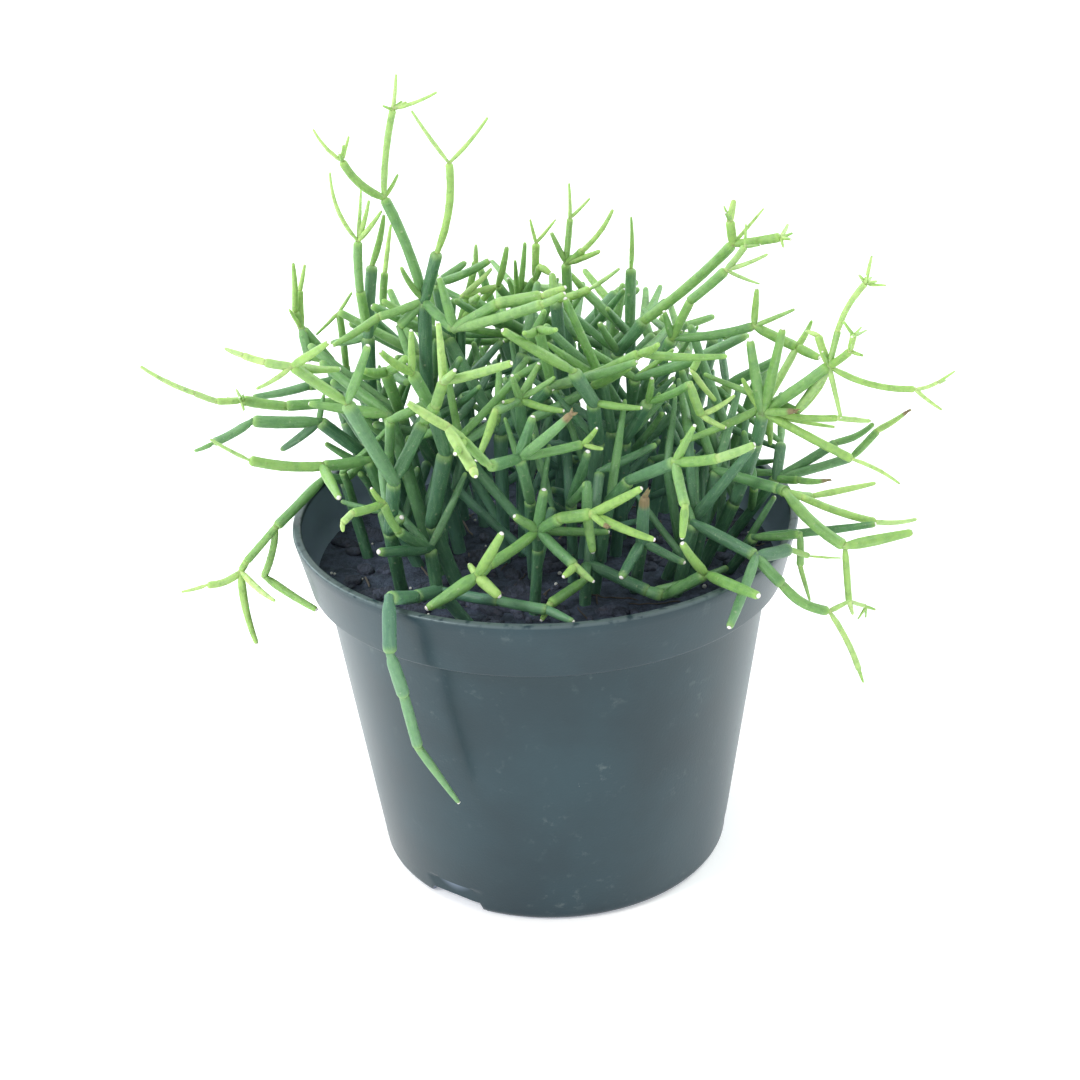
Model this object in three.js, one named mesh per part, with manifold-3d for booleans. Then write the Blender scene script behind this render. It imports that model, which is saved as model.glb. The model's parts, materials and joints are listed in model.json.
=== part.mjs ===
// A potted Rhipsalis erecta: a bushy cactus of thin, branching, pencil-like stems in a round nursery pot.
// Millimetres, +Z up. The origin is the middle of the pot's underside, and -Y is the front.
import * as THREE from "three";
import { mergeVertices } from "three/addons/utils/BufferGeometryUtils.js";
import Module from "manifold-3d";

const wasm = await Module();
wasm.setup();

// The pot: a 12 cm nursery pot of thin moulded plastic.
const RIM_RADIUS = 60;
const POT_HEIGHT = 88.5;
const COLLAR_FOOT = 74.7; // height of the collar band's lower edge
const COLLAR_FOOT_RADIUS = 57;
const WALL_TOP_RADIUS = 53.4;
const WALL_FOOT_RADIUS = 43.7;
const FOOT_CORNER = 2.2; // radius of the turn from the wall to the underside
const WALL = 1.3;
const ROUND = 30; // sides of the pot and of the soil

// The drainage recesses: notches in the foot that run in under the floor to a hole.
const RECESS_ANGLES = [-125, -5, 115]; // degrees round from +X
const RECESS_WIDTH = 15;
const RECESS_HEIGHT = 3;
const RECESS_INNER = 27;
const FLUTE_HEIGHT = 6.5; // a flat on the wall above each notch
const FLUTE_RADIUS = 43.4;
const DRAIN_RADIUS = 3.5;
const DRAIN_PLACE = 33.5;

// The soil, and how far things stay apart.
const SOIL_TOP = 75.5;
const LUMP = 1.7; // the highest that a bark chip stands above SOIL_TOP
const FIT = 0.35; // between the soil and what it touches
const FOOT_DEPTH = 8; // how deep a shoot's foot stands in the soil
const BARK_CHIPS = 120; // tries: most fall too near a stem and are left out
const APART = 0.4; // the least gap between two shoots

// The photograph that the joints were read in: where its eye stands, in mm, and how it looks, in degrees.
const EYE = new THREE.Vector3(0, -390.6, 267.7);
const FOCAL = 1800; // pixels
const CENTRE = 540; // pixels
const LOOKS_DOWN = 25.68;
const PAN = -0.21;
const ROLL = 2.14;

const rad = THREE.MathUtils.degToRad;

const plastic = new THREE.MeshStandardMaterial({ color: "#46525b", roughness: 0.45, metalness: 0 });
const peat = new THREE.MeshStandardMaterial({ color: "#2e2523", roughness: 0.95, metalness: 0 });
const green = new THREE.MeshStandardMaterial({ color: "#4f8a45", roughness: 0.5, metalness: 0 });

// A closed geometry as a solid that can be joined and cut.
function solid(geometry) {
  const bare = geometry.clone();
  bare.deleteAttribute("normal");
  bare.deleteAttribute("uv");
  const merged = mergeVertices(bare, 1e-4);
  const index = merged.index.array;
  const triangles = [];
  for (let i = 0; i < index.length; i += 3) {
    const [a, b, c] = [index[i], index[i + 1], index[i + 2]];
    if (a !== b && b !== c && c !== a) triangles.push(a, b, c);
  }
  const vertProperties = merged.attributes.position.array;
  return new wasm.Manifold(new wasm.Mesh({ numProp: 3, vertProperties, triVerts: new Uint32Array(triangles) }));
}

// A solid as a named mesh.
function piece(name, made, material) {
  const { vertProperties, triVerts } = made.getMesh();
  const geometry = new THREE.BufferGeometry();
  geometry.setAttribute("position", new THREE.BufferAttribute(new Float32Array(vertProperties), 3));
  geometry.setIndex(new THREE.BufferAttribute(new Uint32Array(triVerts), 1));
  geometry.computeVertexNormals();
  const mesh = new THREE.Mesh(geometry, material);
  mesh.name = name;
  return mesh;
}

// A profile of [radius, height] points turned round the Z axis.
function turned(profile, sides) {
  const points = profile.map(([radius, height]) => new THREE.Vector2(radius, height));
  return new THREE.LatheGeometry(points, sides).rotateX(Math.PI / 2);
}

// A box from inner to outer along one recess, in its own direction round the pot.
function recessBox(angle, inner, outer, width, low, high) {
  const box = new THREE.BoxGeometry(outer - inner, width, high - low);
  box.translate((inner + outer) / 2, 0, (low + high) / 2);
  return solid(box.rotateZ(rad(angle)));
}

// The pot's outer radius at a height on its wall.
const wallSlope = (WALL_TOP_RADIUS - WALL_FOOT_RADIUS) / (COLLAR_FOOT - FOOT_CORNER);
function wallRadius(z) {
  return WALL_FOOT_RADIUS + wallSlope * Math.max(z - FOOT_CORNER, 0);
}

// The collar's inner radius at a height.
const collarSlope = (RIM_RADIUS - COLLAR_FOOT_RADIUS) / (POT_HEIGHT - COLLAR_FOOT);
function collarInner(z) {
  return COLLAR_FOOT_RADIUS + collarSlope * (z - COLLAR_FOOT) - WALL;
}

function makePot() {
  const corner = [];
  for (const turn of [-90, -60, -30, 0]) {
    const reach = WALL_FOOT_RADIUS - FOOT_CORNER + FOOT_CORNER * Math.cos(rad(turn));
    corner.push([reach, FOOT_CORNER + FOOT_CORNER * Math.sin(rad(turn))]);
  }
  const profile = [
    [0, 0],
    ...corner,
    [WALL_TOP_RADIUS, COLLAR_FOOT - 0.4],
    [COLLAR_FOOT_RADIUS, COLLAR_FOOT],
    [RIM_RADIUS, POT_HEIGHT - 0.6],
    [RIM_RADIUS - 0.5, POT_HEIGHT],
    [RIM_RADIUS - WALL, POT_HEIGHT],
    [collarInner(POT_HEIGHT) - 0.3, POT_HEIGHT - 0.6],
    [collarInner(COLLAR_FOOT + 1), COLLAR_FOOT + 1],
    [WALL_TOP_RADIUS - WALL, COLLAR_FOOT - 1.8],
    [WALL_FOOT_RADIUS - WALL, WALL + 1],
    [WALL_FOOT_RADIUS - WALL - 1, WALL],
    [0, WALL],
  ];
  let pot = solid(turned(profile, ROUND));
  for (const angle of RECESS_ANGLES) {
    const roof = RECESS_HEIGHT + WALL;
    const side = RECESS_WIDTH + 2 * WALL;
    pot = pot.add(recessBox(angle, RECESS_INNER - WALL, WALL_FOOT_RADIUS - 2.4, side, 0.6, roof));
    pot = pot.subtract(recessBox(angle, RECESS_INNER, RIM_RADIUS, RECESS_WIDTH, -1, RECESS_HEIGHT));
    pot = pot.subtract(recessBox(angle, FLUTE_RADIUS, RIM_RADIUS, RECESS_WIDTH, -1, FLUTE_HEIGHT));
    const drain = new THREE.CylinderGeometry(DRAIN_RADIUS, DRAIN_RADIUS, 4, 12).rotateX(Math.PI / 2);
    drain.translate(DRAIN_PLACE, 0, roof);
    pot = pot.subtract(solid(drain.rotateZ(rad(angle))));
  }
  return piece("pot", pot, plastic);
}

// A chip of bark that stands half out of the soil, where no stem is near, or nothing.
function barkChip() {
  const size = [random(4, 9), random(3, 6), random(2, 2.6)];
  const reach = random(0, 46);
  const place = rad(random(0, 360));
  const middle = new THREE.Vector3(reach * Math.cos(place), reach * Math.sin(place), SOIL_TOP - 0.4);
  const [yaw, tilt] = [rad(random(0, 180)), rad(random(-9, 9))];
  const room = Math.hypot(size[0], size[1]) / 2 + APART;
  const clearOfStems = placed.every(({ from, to, radius }) => {
    return distance(middle, middle.clone().setZ(SOIL_TOP + LUMP), from, to) > radius + room;
  });
  if (!clearOfStems) return null;
  const box = new THREE.BoxGeometry(...size).rotateY(tilt).rotateZ(yaw);
  return solid(box.translate(middle.x, middle.y, middle.z));
}

function makeSoil(feet) {
  const edge = collarInner(SOIL_TOP) - FIT;
  const profile = [
    [0, WALL + FIT],
    [WALL_FOOT_RADIUS - WALL - 1 - FIT, WALL + FIT],
    [WALL_FOOT_RADIUS - WALL - FIT, WALL + 1 + FIT],
    [WALL_TOP_RADIUS - WALL - FIT, COLLAR_FOOT - 1.8],
    [edge - 0.3, COLLAR_FOOT + 0.7],
    [edge, SOIL_TOP],
    [0, SOIL_TOP],
  ];
  let soil = solid(turned(profile, ROUND));
  for (const angle of RECESS_ANGLES) {
    const side = RECESS_WIDTH + 2 * (WALL + FIT);
    const roof = RECESS_HEIGHT + WALL + FIT;
    soil = soil.subtract(recessBox(angle, RECESS_INNER - WALL - FIT, WALL_FOOT_RADIUS, side, 0, roof));
  }
  for (const { from, to, radius } of feet) {
    const wide = (radius + FIT) / Math.cos(Math.PI / 5);
    soil = soil.subtract(stemSolid([from, to], [wide, wide], FIT));
  }
  for (let i = 0; i < BARK_CHIPS; i += 1) {
    const chip = barkChip();
    if (chip) soil = soil.add(chip);
  }
  return piece("soil", soil, peat);
}

// A stem through a row of joints: a slim tube with few sides, blunt at both ends. It has the given
// radius at each joint, and reaches past both ends by extra.
function stemSolid(joints, radii, extra = 0) {
  const sides = Math.max(...radii) > 1.15 ? 5 : 4;
  const last = joints.length - 1;
  const steps = joints.slice(1).map((joint, i) => new THREE.Vector3().subVectors(joint, joints[i]).normalize());
  const corners = [];
  let side = new THREE.Vector3(0.31, 0.17, 0.93);
  for (let i = 0; i <= last; i += 1) {
    const along = steps[Math.max(i - 1, 0)].clone().add(steps[Math.min(i, last - 1)]).normalize();
    side = side.addScaledVector(along, -side.dot(along)).normalize();
    const across = new THREE.Vector3().crossVectors(along, side);
    const centre = joints[i].clone();
    const blunt = 0.6 * radii[i];
    if (i === 0) centre.addScaledVector(along, -extra);
    if (i === last) centre.addScaledVector(along, extra - blunt);
    if (i === 0) corners.push(centre.clone().addScaledVector(along, -blunt));
    for (let k = 0; k < sides; k += 1) {
      const turn = (2 * Math.PI * k) / sides;
      const corner = centre.clone().addScaledVector(side, radii[i] * Math.cos(turn));
      corners.push(corner.addScaledVector(across, radii[i] * Math.sin(turn)));
    }
    if (i === last) corners.push(centre.clone().addScaledVector(along, blunt));
  }
  const faces = [];
  const end = corners.length - 1;
  for (let k = 0; k < sides; k += 1) {
    const next = (k + 1) % sides;
    faces.push(0, 1 + next, 1 + k, end, end - sides + k, end - sides + next);
    for (let i = 0; i < last; i += 1) {
      const [low, high] = [1 + i * sides, 1 + (i + 1) * sides];
      faces.push(low + k, low + next, high + next, low + k, high + next, high + k);
    }
  }
  const geometry = new THREE.BufferGeometry().setFromPoints(corners);
  geometry.setIndex(faces);
  return solid(geometry);
}

// The stems that a shoot's stretches make up: each runs on from a stretch to the first one after it
// that bends little and is about as thick, and the others are stems of their own.
const MOST_BEND = 60;
const LEAST_SHARE = 0.6;
function stemsOf(stretches) {
  const taken = new Set();
  const stems = [];
  for (const start of stretches) {
    if (taken.has(start)) continue;
    const joints = [start.from];
    const radii = [start.radius];
    let now = start;
    while (now) {
      taken.add(now);
      joints.push(now.to);
      const here = now;
      const along = new THREE.Vector3().subVectors(here.to, here.from);
      now = stretches.find((other) => {
        if (taken.has(other) || other.from !== here.to) return false;
        if (other.radius < LEAST_SHARE * here.radius) return false;
        return along.angleTo(new THREE.Vector3().subVectors(other.to, other.from)) < rad(MOST_BEND);
      });
      radii.push(now ? Math.min(here.radius, now.radius) : here.radius);
    }
    stems.push(stemSolid(joints, radii));
  }
  return stems;
}

// Where a joint is, from its place in the photograph and its depth: its Y, in mm.
const ahead = new THREE.Vector3(
  Math.sin(rad(PAN)) * Math.cos(rad(LOOKS_DOWN)),
  Math.cos(rad(PAN)) * Math.cos(rad(LOOKS_DOWN)),
  -Math.sin(rad(LOOKS_DOWN)),
);
const right = new THREE.Vector3(Math.cos(rad(PAN)), -Math.sin(rad(PAN)), 0);
const above = new THREE.Vector3().crossVectors(right, ahead);
function seen(column, row, depth) {
  const [across, up] = [column - CENTRE, CENTRE - row];
  const u = across * Math.cos(rad(ROLL)) + up * Math.sin(rad(ROLL));
  const v = up * Math.cos(rad(ROLL)) - across * Math.sin(rad(ROLL));
  const ray = new THREE.Vector3();
  ray.addScaledVector(ahead, FOCAL).addScaledVector(right, u).addScaledVector(above, v);
  return ray.multiplyScalar((depth - EYE.y) / ray.y).add(EYE);
}

// The least distance between two straight stretches.
function distance(p, q, s, t) {
  const d1 = new THREE.Vector3().subVectors(q, p);
  const d2 = new THREE.Vector3().subVectors(t, s);
  const r = new THREE.Vector3().subVectors(p, s);
  const [a, e, f, c, b] = [d1.dot(d1), d2.dot(d2), d2.dot(r), d1.dot(r), d1.dot(d2)];
  const clamp = THREE.MathUtils.clamp;
  const cross = a * e - b * b;
  let i = cross > 1e-9 ? clamp((b * f - c * e) / cross, 0, 1) : 0;
  let j = (b * i + f) / e;
  if (j < 0 || j > 1) {
    j = clamp(j, 0, 1);
    i = clamp((b * j - c) / a, 0, 1);
  }
  return r.addScaledVector(d1, i).addScaledVector(d2, -j).length();
}

// Whether a stretch keeps clear of the pot, the soil and the ground. A foot may stand in the soil.
function clearOfPot(from, to, radius, foot) {
  const steps = Math.ceil(from.distanceTo(to) / 2);
  const room = radius + APART;
  for (let i = 0; i <= steps; i += 1) {
    const { x, y, z } = from.clone().lerp(to, i / steps);
    const reach = Math.hypot(x, y);
    const inside = z > COLLAR_FOOT + 1 ? collarInner(z) : wallRadius(z) - WALL;
    const outside = z > COLLAR_FOOT - room - 1 ? RIM_RADIUS : wallRadius(z);
    const overRim = z - room > POT_HEIGHT;
    const inPot = reach + room < inside && (foot || z - room > SOIL_TOP + LUMP);
    const besidePot = reach - room > outside && z - room > 0;
    if (!overRim && !inPot && !besidePot) return false;
  }
  return true;
}

// Every stretch placed so far. A new one is clear if it keeps apart from those of the other shoots.
const placed = [];
function clear(from, to, radius, shoot, foot) {
  if (!clearOfPot(from, to, radius, foot)) return false;
  return placed.every((other) => {
    if (other.shoot === shoot) return true;
    return distance(from, to, other.from, other.to) > radius + other.radius + APART;
  });
}

// What a joint that isn't clear tries in turn: other depths, in mm, and then small steps in the picture.
const DEPTHS = [0, 1.5, -1.5, 3, -3, 4.5, -4.5, 6, -6, 8, -8, 10, -10, 13, -13, 16, -16];
const STEPS = [[0, 0], [6, 0], [-6, 0], [0, 6], [0, -6]];

// A branch as it was read: [column, row, depth, diameter, ...branches that grow from its end].
// It bends away from what stands in its way, and its own branches go with it.
function follow(shoot, from, [column, row, depth, diameter, ...branches], shift, foot) {
  const radius = diameter / 2;
  for (const [aside, down] of STEPS) {
    for (const nearer of DEPTHS) {
      const to = seen(column + aside, row + down, depth + shift + nearer);
      if (clear(from, to, radius, shoot, foot)) {
        placed.push({ from, to, radius, shoot, foot });
        for (const branch of branches) follow(shoot, to, branch, shift + nearer, false);
        return;
      }
    }
  }
}

// The shoots that can be told apart in the photograph, nearest first. Each has the [x, y] of its foot
// on the soil, in mm, and then its first branch, with joints read in the photograph's pixels.
const SHOOTS = {
  hang_front: [[-14, -30],
    [440, 590, -36, 2.8, [414, 597, -44, 2.8, [389, 598, -52.5, 2.9, [390, 654, -56, 2.9,
      [404, 696, -53, 2.7, [418, 747, -51, 2.3, [459, 803, -48.5, 1.9]]]]]]]],
  star_front: [[-4, -28],
    [538, 547, -32, 2.4, [538, 530, -34, 2.6, [514, 516, -38, 2.1], [544, 489, -36, 2.5],
      [561, 518, -38, 2.6, [592, 514, -42, 2.6, [642, 488, -46, 2.1], [655, 540, -48, 2.1], [608, 527, -50, 1.5]]],
      [575, 566, -44, 2.3, [563, 577, -48, 1.8], [594, 582, -46, 1.7]], [609, 532, -30, 2.1],
      [487, 566, -44, 2.3, [477, 576, -46, 2.4, [426, 609, -49, 3.1], [502, 533, -50, 2.4], [500, 597, -50, 2.6],
        [469, 564, -42, 1.7]]]]]],
  soil_right: [[8, -24],
    [587, 563, -28, 2.6, [650, 592, -34, 2.7, [664, 596, -35, 2.7,
      [706, 574, -40, 2.6, [682, 543, -46, 2.2], [759, 596, -48, 2.6]]]],
      [585, 580, -34, 2.2, [550, 604, -42, 2.2, [541, 621, -45, 1.6]]]]],
  hook_left: [[-24, -24],
    [430, 548, -24, 2.8, [378, 552, -36, 2.8], [398, 531, -32, 2.2, [383, 503, -34, 1.8, [371, 488, -36, 1.4],
      [352, 513, -40, 1.8, [342, 523, -42, 1.5, [343, 532, -43, 1.1]]]]]]],
  left_bright: [[-33, -14],
    [390, 530, -26, 3.0, [394, 481, -30, 3.0,
      [347, 403, -36, 3.0, [292, 366, -38, 2.2, [264, 362, -38, 1.9, [242, 355, -37, 1.5, [224, 348, -36, 1.3]]],
        [329, 342, -44, 1.9], [256, 389, -42, 1.1]], [368, 345, -40, 2.1]],
      [423, 423, -26, 2.8, [436, 405, -28, 2.6, [443, 382, -30, 2.4, [438, 322, -32, 1.8],
        [512, 363, -40, 2.1], [455, 370, -36, 2.0]]]]], [402, 517, -38, 2.7]]],
  mid_cross: [[-3, -6],
    [530, 500, -26, 2.4, [519, 458, -36, 2.4, [571, 414, -44, 2.3], [533, 416, -36, 2.5],
      [490, 466, -48, 2.5, [464, 440, -44, 1.9, [447, 427, -46, 2.0, [407, 402, -50, 2.0],
        [473, 470, -54, 2.3, [476, 477, -56, 1.9]]], [455, 454, -56, 1.8]]],
      [583, 444, -34, 1.9, [597, 428, -38, 1.3], [603, 449, -38, 1.1]]]]],
  brown_tip: [[20, -14],
    [642, 541, -34, 2.6, [645, 496, -38, 2.9], [621, 578, -44, 2.5], [685, 563, -40, 2.1]]],
  right_rim: [[28, -20],
    [694, 523, -26, 2.8, [756, 556, -38, 2.7, [729, 628, -49, 2.3], [790, 549, -30, 2.8, [809, 556, -28, 1.3]],
      [783, 585, -38, 2.4, [829, 611, -38, 2.1, [849, 601, -34, 1.2], [859, 670, -36, 1.3]]]]]],
  mid_upright: [[6, -10],
    [571, 503, -24, 2.4, [588, 451, -30, 2.5], [588, 484, -34, 2.0, [587, 516, -36, 2.2, [593, 553, -38, 2.2]]]]],
  right_mid: [[10, -18],
    [610, 500, -30, 2.6, [630, 480, -34, 2.6, [675, 462, -44, 2.5, [695, 425, -46, 1.9],
      [719, 458, -50, 2.1, [755, 444, -52, 2.0]], [685, 506, -54, 2.1, [682, 539, -56, 1.9]]]]]],
  right_slant: [[26, -10],
    [694, 518, -30, 2.8, [754, 446, -36, 2.7]]],
  inner_cross: [[-18, -14],
    [432, 523, -18, 3.4, [445, 452, -20, 3.4, [432, 408, -22, 2.8, [412, 373, -24, 2.7, [411, 330, -26, 1.7],
      [380, 351, -32, 1.9]]]]]],
  right_v: [[34, -6],
    [735, 500, -12, 3.0, [757, 440, -18, 3.0, [763, 412, -20, 2.8,
      [750, 340, -22, 2.4], [783, 328, -24, 2.4], [795, 411, -26, 1.9],
      [838, 418, -24, 1.5, [871, 421, -24, 1.3]], [835, 427, -18, 1.3],
      [852, 459, -28, 1.9, [900, 484, -28, 1.0]],
      [829, 366, -22, 2.4, [838, 330, -22, 1.4, [866, 283, -22, 1.3, [872, 255, -22, 0.9], [878, 281, -24, 0.9]]],
        [850, 351, -26, 1.7, [854, 335, -26, 1.4]], [819, 334, -18, 1.5],
        [915, 389, -24, 1.4, [938, 382, -24, 0.9], [942, 410, -24, 0.9]],
        [841, 418, -28, 1.2], [795, 415, -16, 1.6]]]]]],
  right_low: [[32, -16],
    [716, 470, -14, 2.4, [780, 489, -22, 2.4, [786, 492, -24, 2.5, [845, 546, -32, 2.5, [913, 532, -32, 2.5],
      [849, 601, -32, 1.5, [853, 615, -32, 1.2], [866, 606, -30, 0.9]]],
      [802, 497, -24, 1.9, [876, 522, -24, 1.7, [917, 519, -24, 1.2]]],
      [812, 496, -20, 1.6, [876, 483, -18, 1.6]]]]]],
  right_fan: [[38, 4],
    [776, 478, -6, 2.4, [852, 457, -8, 2.1, [878, 430, -8, 1.7, [908, 411, -8, 1.5]]],
      [837, 442, -4, 2.1, [874, 423, -4, 1.7]], [799, 480, -10, 1.8, [828, 480, -12, 1.6]],
      [781, 442, 0, 2.5]]],
  right_reach: [[40, -4],
    [754, 537, -22, 2.4, [876, 524, -30, 2.1], [800, 534, -28, 1.8, [800, 566, -32, 1.6, [810, 601, -34, 1.1]]]]],
  left_low: [[-28, -2],
    [385, 500, -4, 2.8, [368, 460, -8, 2.4, [322, 466, -12, 2.5, [249, 460, -16, 2.3, [210, 439, -18, 1.0]],
      [339, 498, -30, 2.5]]]]],
  trail_left: [[-42, 4],
    [345, 480, 5, 2.6, [325, 477, 2, 2.4, [276, 527, 0, 2.3, [246, 562, -2, 1.8, [241, 571, -2, 1.7,
      [207, 585, -4, 1.7, [181, 592, -5, 1.0]], [257, 644, -8, 2.0], [275, 601, -14, 1.6]]],
      [264, 576, 4, 1.7, [317, 610, -8, 2.0]]]]]],
  left_dark: [[-36, 12],
    [372, 470, 5, 3.0, [359, 450, 3, 3.0, [319, 421, 0, 3.0, [252, 421, -3, 2.8, [213, 443, -4, 2.0,
      [194, 451, -5, 1.2]]], [281, 450, 4, 2.2], [324, 394, 2, 1.5]]]]],
  tall_fork: [[-20, 5],
    [428, 420, 4, 3.2, [424, 300, 0, 3.0,
      [437, 252, -3, 2.6, [449, 163, -6, 1.7, [411, 110, -10, 1.0], [488, 117, -4, 1.0]]],
      [384, 198, 4, 2.3, [393, 109, 6, 1.5, [396, 74, 8, 0.9], [437, 92, 2, 0.9]],
        [342, 161, 0, 1.8, [313, 129, -3, 0.9], [349, 136, 3, 0.9]], [398, 174, 8, 1.0]],
      [401, 267, -5, 1.5],
      [454, 329, -9, 2.2, [499, 303, -12, 2.6, [542, 296, -14, 2.6, [566, 287, -15, 1.9]]],
        [543, 304, -20, 2.3, [565, 293, -22, 1.7]]]]]],
  long_diag: [[8, 2],
    [598, 440, -14, 3.0, [593, 402, -20, 3.0, [573, 371, -24, 3.0, [502, 330, -30, 2.3]], [642, 408, -24, 1.8]]]],
  right_pair: [[16, 2],
    [625, 440, -10, 2.8, [648, 402, -16, 2.6, [652, 378, -20, 1.7],
      [690, 384, -24, 1.7, [701, 415, -22, 1.9, [726, 428, -24, 1.4], [735, 395, -20, 1.3]]]]]],
  right_club: [[18, 10],
    [628, 420, 2, 2.8, [635, 378, -6, 2.6, [699, 358, -14, 2.4, [692, 371, -16, 1.6, [716, 401, -18, 1.4]]],
      [674, 349, -10, 1.4]]]],
  mid_small: [[-6, 4],
    [524, 440, -14, 2.6, [520, 399, -20, 2.3, [512, 375, -24, 1.7], [503, 402, -26, 1.5],
      [539, 363, -18, 1.9], [555, 377, -22, 1.4], [564, 411, -26, 1.7],
      [495, 411, -28, 2.0, [476, 461, -34, 1.9]]]]],
  centre_bow: [[12, -4],
    [612, 430, -6, 2.6, [602, 380, -10, 2.3, [565, 298, -14, 2.1], [593, 386, -12, 2.3, [631, 366, -18, 2.3]]]]],
  right_second: [[24, 6],
    [640, 400, 4, 2.8, [672, 338, -2, 2.6,
      [691, 300, -4, 2.0, [726, 270, -6, 2.2, [745, 246, -6, 1.5], [768, 254, -8, 1.1], [760, 284, -4, 0.9]]],
      [664, 311, -4, 1.8],
      [754, 326, -6, 2.0, [757, 288, -6, 1.7], [795, 309, -8, 1.2], [797, 347, -8, 2.2]]]]],
  right_long: [[14, 12],
    [606, 420, 10, 3.0, [618, 352, 6, 3.0, [645, 320, 4, 2.8, [733, 244, 0, 2.3, [730, 220, 0, 2.0,
      [734, 199, 0, 1.7]], [781, 237, -4, 2.0, [788, 224, 2, 1.0]], [764, 208, 4, 0.9]]]]]],
  centre_post: [[2, 14],
    [566, 420, 14, 3.0, [562, 361, 12, 2.9, [556, 300, 10, 2.9, [590, 289, 8, 1.9, [620, 268, 6, 1.1]],
      [552, 273, 14, 2.2]]]]],
  left_pair: [[-28, 14],
    [372, 420, 12, 3.0, [368, 335, 10, 3.0,
      [360, 290, 8, 2.2, [358, 241, 8, 2.0, [330, 172, 5, 1.1], [361, 188, 12, 1.0], [369, 200, 9, 1.2],
        [382, 210, 6, 1.3]]],
      [372, 265, 12, 2.6, [384, 214, 14, 1.7]], [383, 305, 16, 2.0, [385, 272, 16, 1.8, [391, 224, 18, 1.2]]],
      [331, 343, 14, 2.4]]]],
  far_left: [[-34, 22],
    [365, 440, 18, 2.8, [340, 402, 14, 2.6, [285, 406, 12, 2.5, [242, 400, 10, 2.4,
      [216, 401, 9, 1.7, [194, 393, 8, 1.5, [140, 366, 6, 1.3]]], [236, 389, 12, 0.9], [244, 411, 8, 0.9]]]]]],
  back_left: [[-14, 18],
    [462, 390, 22, 3.0, [437, 283, 18, 2.8, [490, 260, 14, 2.1], [466, 262, 22, 2.1]],
      [461, 318, 20, 2.2, [476, 261, 22, 1.6, [476, 244, 22, 1.3]], [494, 287, 16, 1.5, [462, 296, 12, 1.7]]]]],
  crown: [[6, 24],
    [575, 400, 24, 2.8, [568, 310, 24, 2.4, [566, 263, 22, 2.3,
      [570, 218, 20, 1.5, [569, 183, 18, 0.9], [590, 198, 20, 0.9]], [583, 250, 18, 1.8, [613, 209, 16, 1.3]],
      [600, 251, 14, 1.6], [551, 232, 20, 1.4]]], [548, 340, 30, 2.6, [543, 302, 32, 2.2]]]],
  crown_left: [[-6, 28],
    [520, 380, 28, 2.8, [518, 305, 28, 2.6, [535, 279, 26, 2.0, [536, 243, 26, 1.8,
      [530, 219, 26, 0.9], [556, 219, 24, 0.9]], [540, 266, 24, 1.6, [551, 274, 22, 1.9]]], [525, 242, 30, 1.6],
      [515, 260, 24, 1.5], [498, 285, 22, 2.0, [507, 246, 20, 1.7]], [508, 278, 28, 1.8]],
      [503, 335, 32, 2.8]]],
  lone_up: [[18, 26],
    [632, 410, 24, 2.8, [630, 334, 20, 2.5, [631, 268, 20, 2.5, [631, 216, 20, 1.2]],
      [586, 292, 26, 2.2, [570, 273, 27, 1.8]]]]],
  left_up: [[-38, 24],
    [345, 420, 26, 2.8, [330, 360, 25, 2.6, [302, 329, 24, 2.4, [295, 311, 24, 1.8, [293, 262, 23, 1.6]],
      [300, 290, 26, 1.5, [305, 264, 26, 1.2]], [289, 309, 22, 1.1]], [306, 357, 26, 1.8]]]],
  left_thin: [[-26, 32],
    [350, 420, 30, 2.4, [346, 365, 29, 2.0, [339, 312, 28, 1.7, [352, 292, 28, 0.9], [316, 335, 27, 0.9]]]]],
  far_left_low: [[-34, 30],
    [375, 425, 26, 2.6, [355, 375, 24, 2.6, [307, 386, 22, 2.4, [252, 397, 20, 2.2]]]]],
};

// The shoots behind and inside the bush, which the photograph can't show, grow by a seeded rule.
const FILL_SHOOTS = 20;
const SEED = 58;
let state = SEED;
function random(low, high) {
  state = (state * 1664525 + 1013904223) % 4294967296;
  return low + ((high - low) * state) / 4294967296;
}

// The space that the grown shoots keep to: the bush is domed, and highest a little left of the middle.
function withinBush({ x, y, z }) {
  return (x / 60) ** 2 + ((y - 20) / 62) ** 2 < 1 && z < 144 - 0.22 * y - 0.004 * (x + 10) ** 2;
}

// A direction turned away from another by an angle, at a random place round it.
function turnedFrom(along, angle) {
  const side = new THREE.Vector3(random(-1, 1), random(-1, 1), random(-1, 1)).cross(along).normalize();
  return along.clone().multiplyScalar(Math.cos(rad(angle))).addScaledVector(side, Math.sin(rad(angle)));
}

// One grown segment, and the whorl of thinner, shorter ones that its end bears.
const LEVELS = 4;
const TRIES = 12;
function grow(shoot, from, along, level) {
  const radius = (3.2 - 0.4 * level) / 2;
  const length = level === 0 ? random(38, 52) : random(15, 28);
  for (let attempt = 0; attempt < TRIES; attempt += 1) {
    const bent = turnedFrom(along, level === 0 ? random(0, 12) : random(20, 50));
    const to = from.clone().addScaledVector(bent, length);
    if (withinBush(to) && clear(from, to, radius, shoot, level === 0)) {
      placed.push({ from, to, radius, shoot, foot: level === 0 });
      const outward = new THREE.Vector3(to.x / 60, (to.y - 10) / 60, 0.25);
      const next = bent.clone().multiplyScalar(0.7).addScaledVector(outward, 0.6).normalize();
      const whorl = level + 1 < LEVELS ? Math.round(random(1.6, 3.4)) : 0;
      for (let branch = 0; branch < whorl; branch += 1) grow(shoot, to, next, level + 1);
      return;
    }
  }
}

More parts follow.
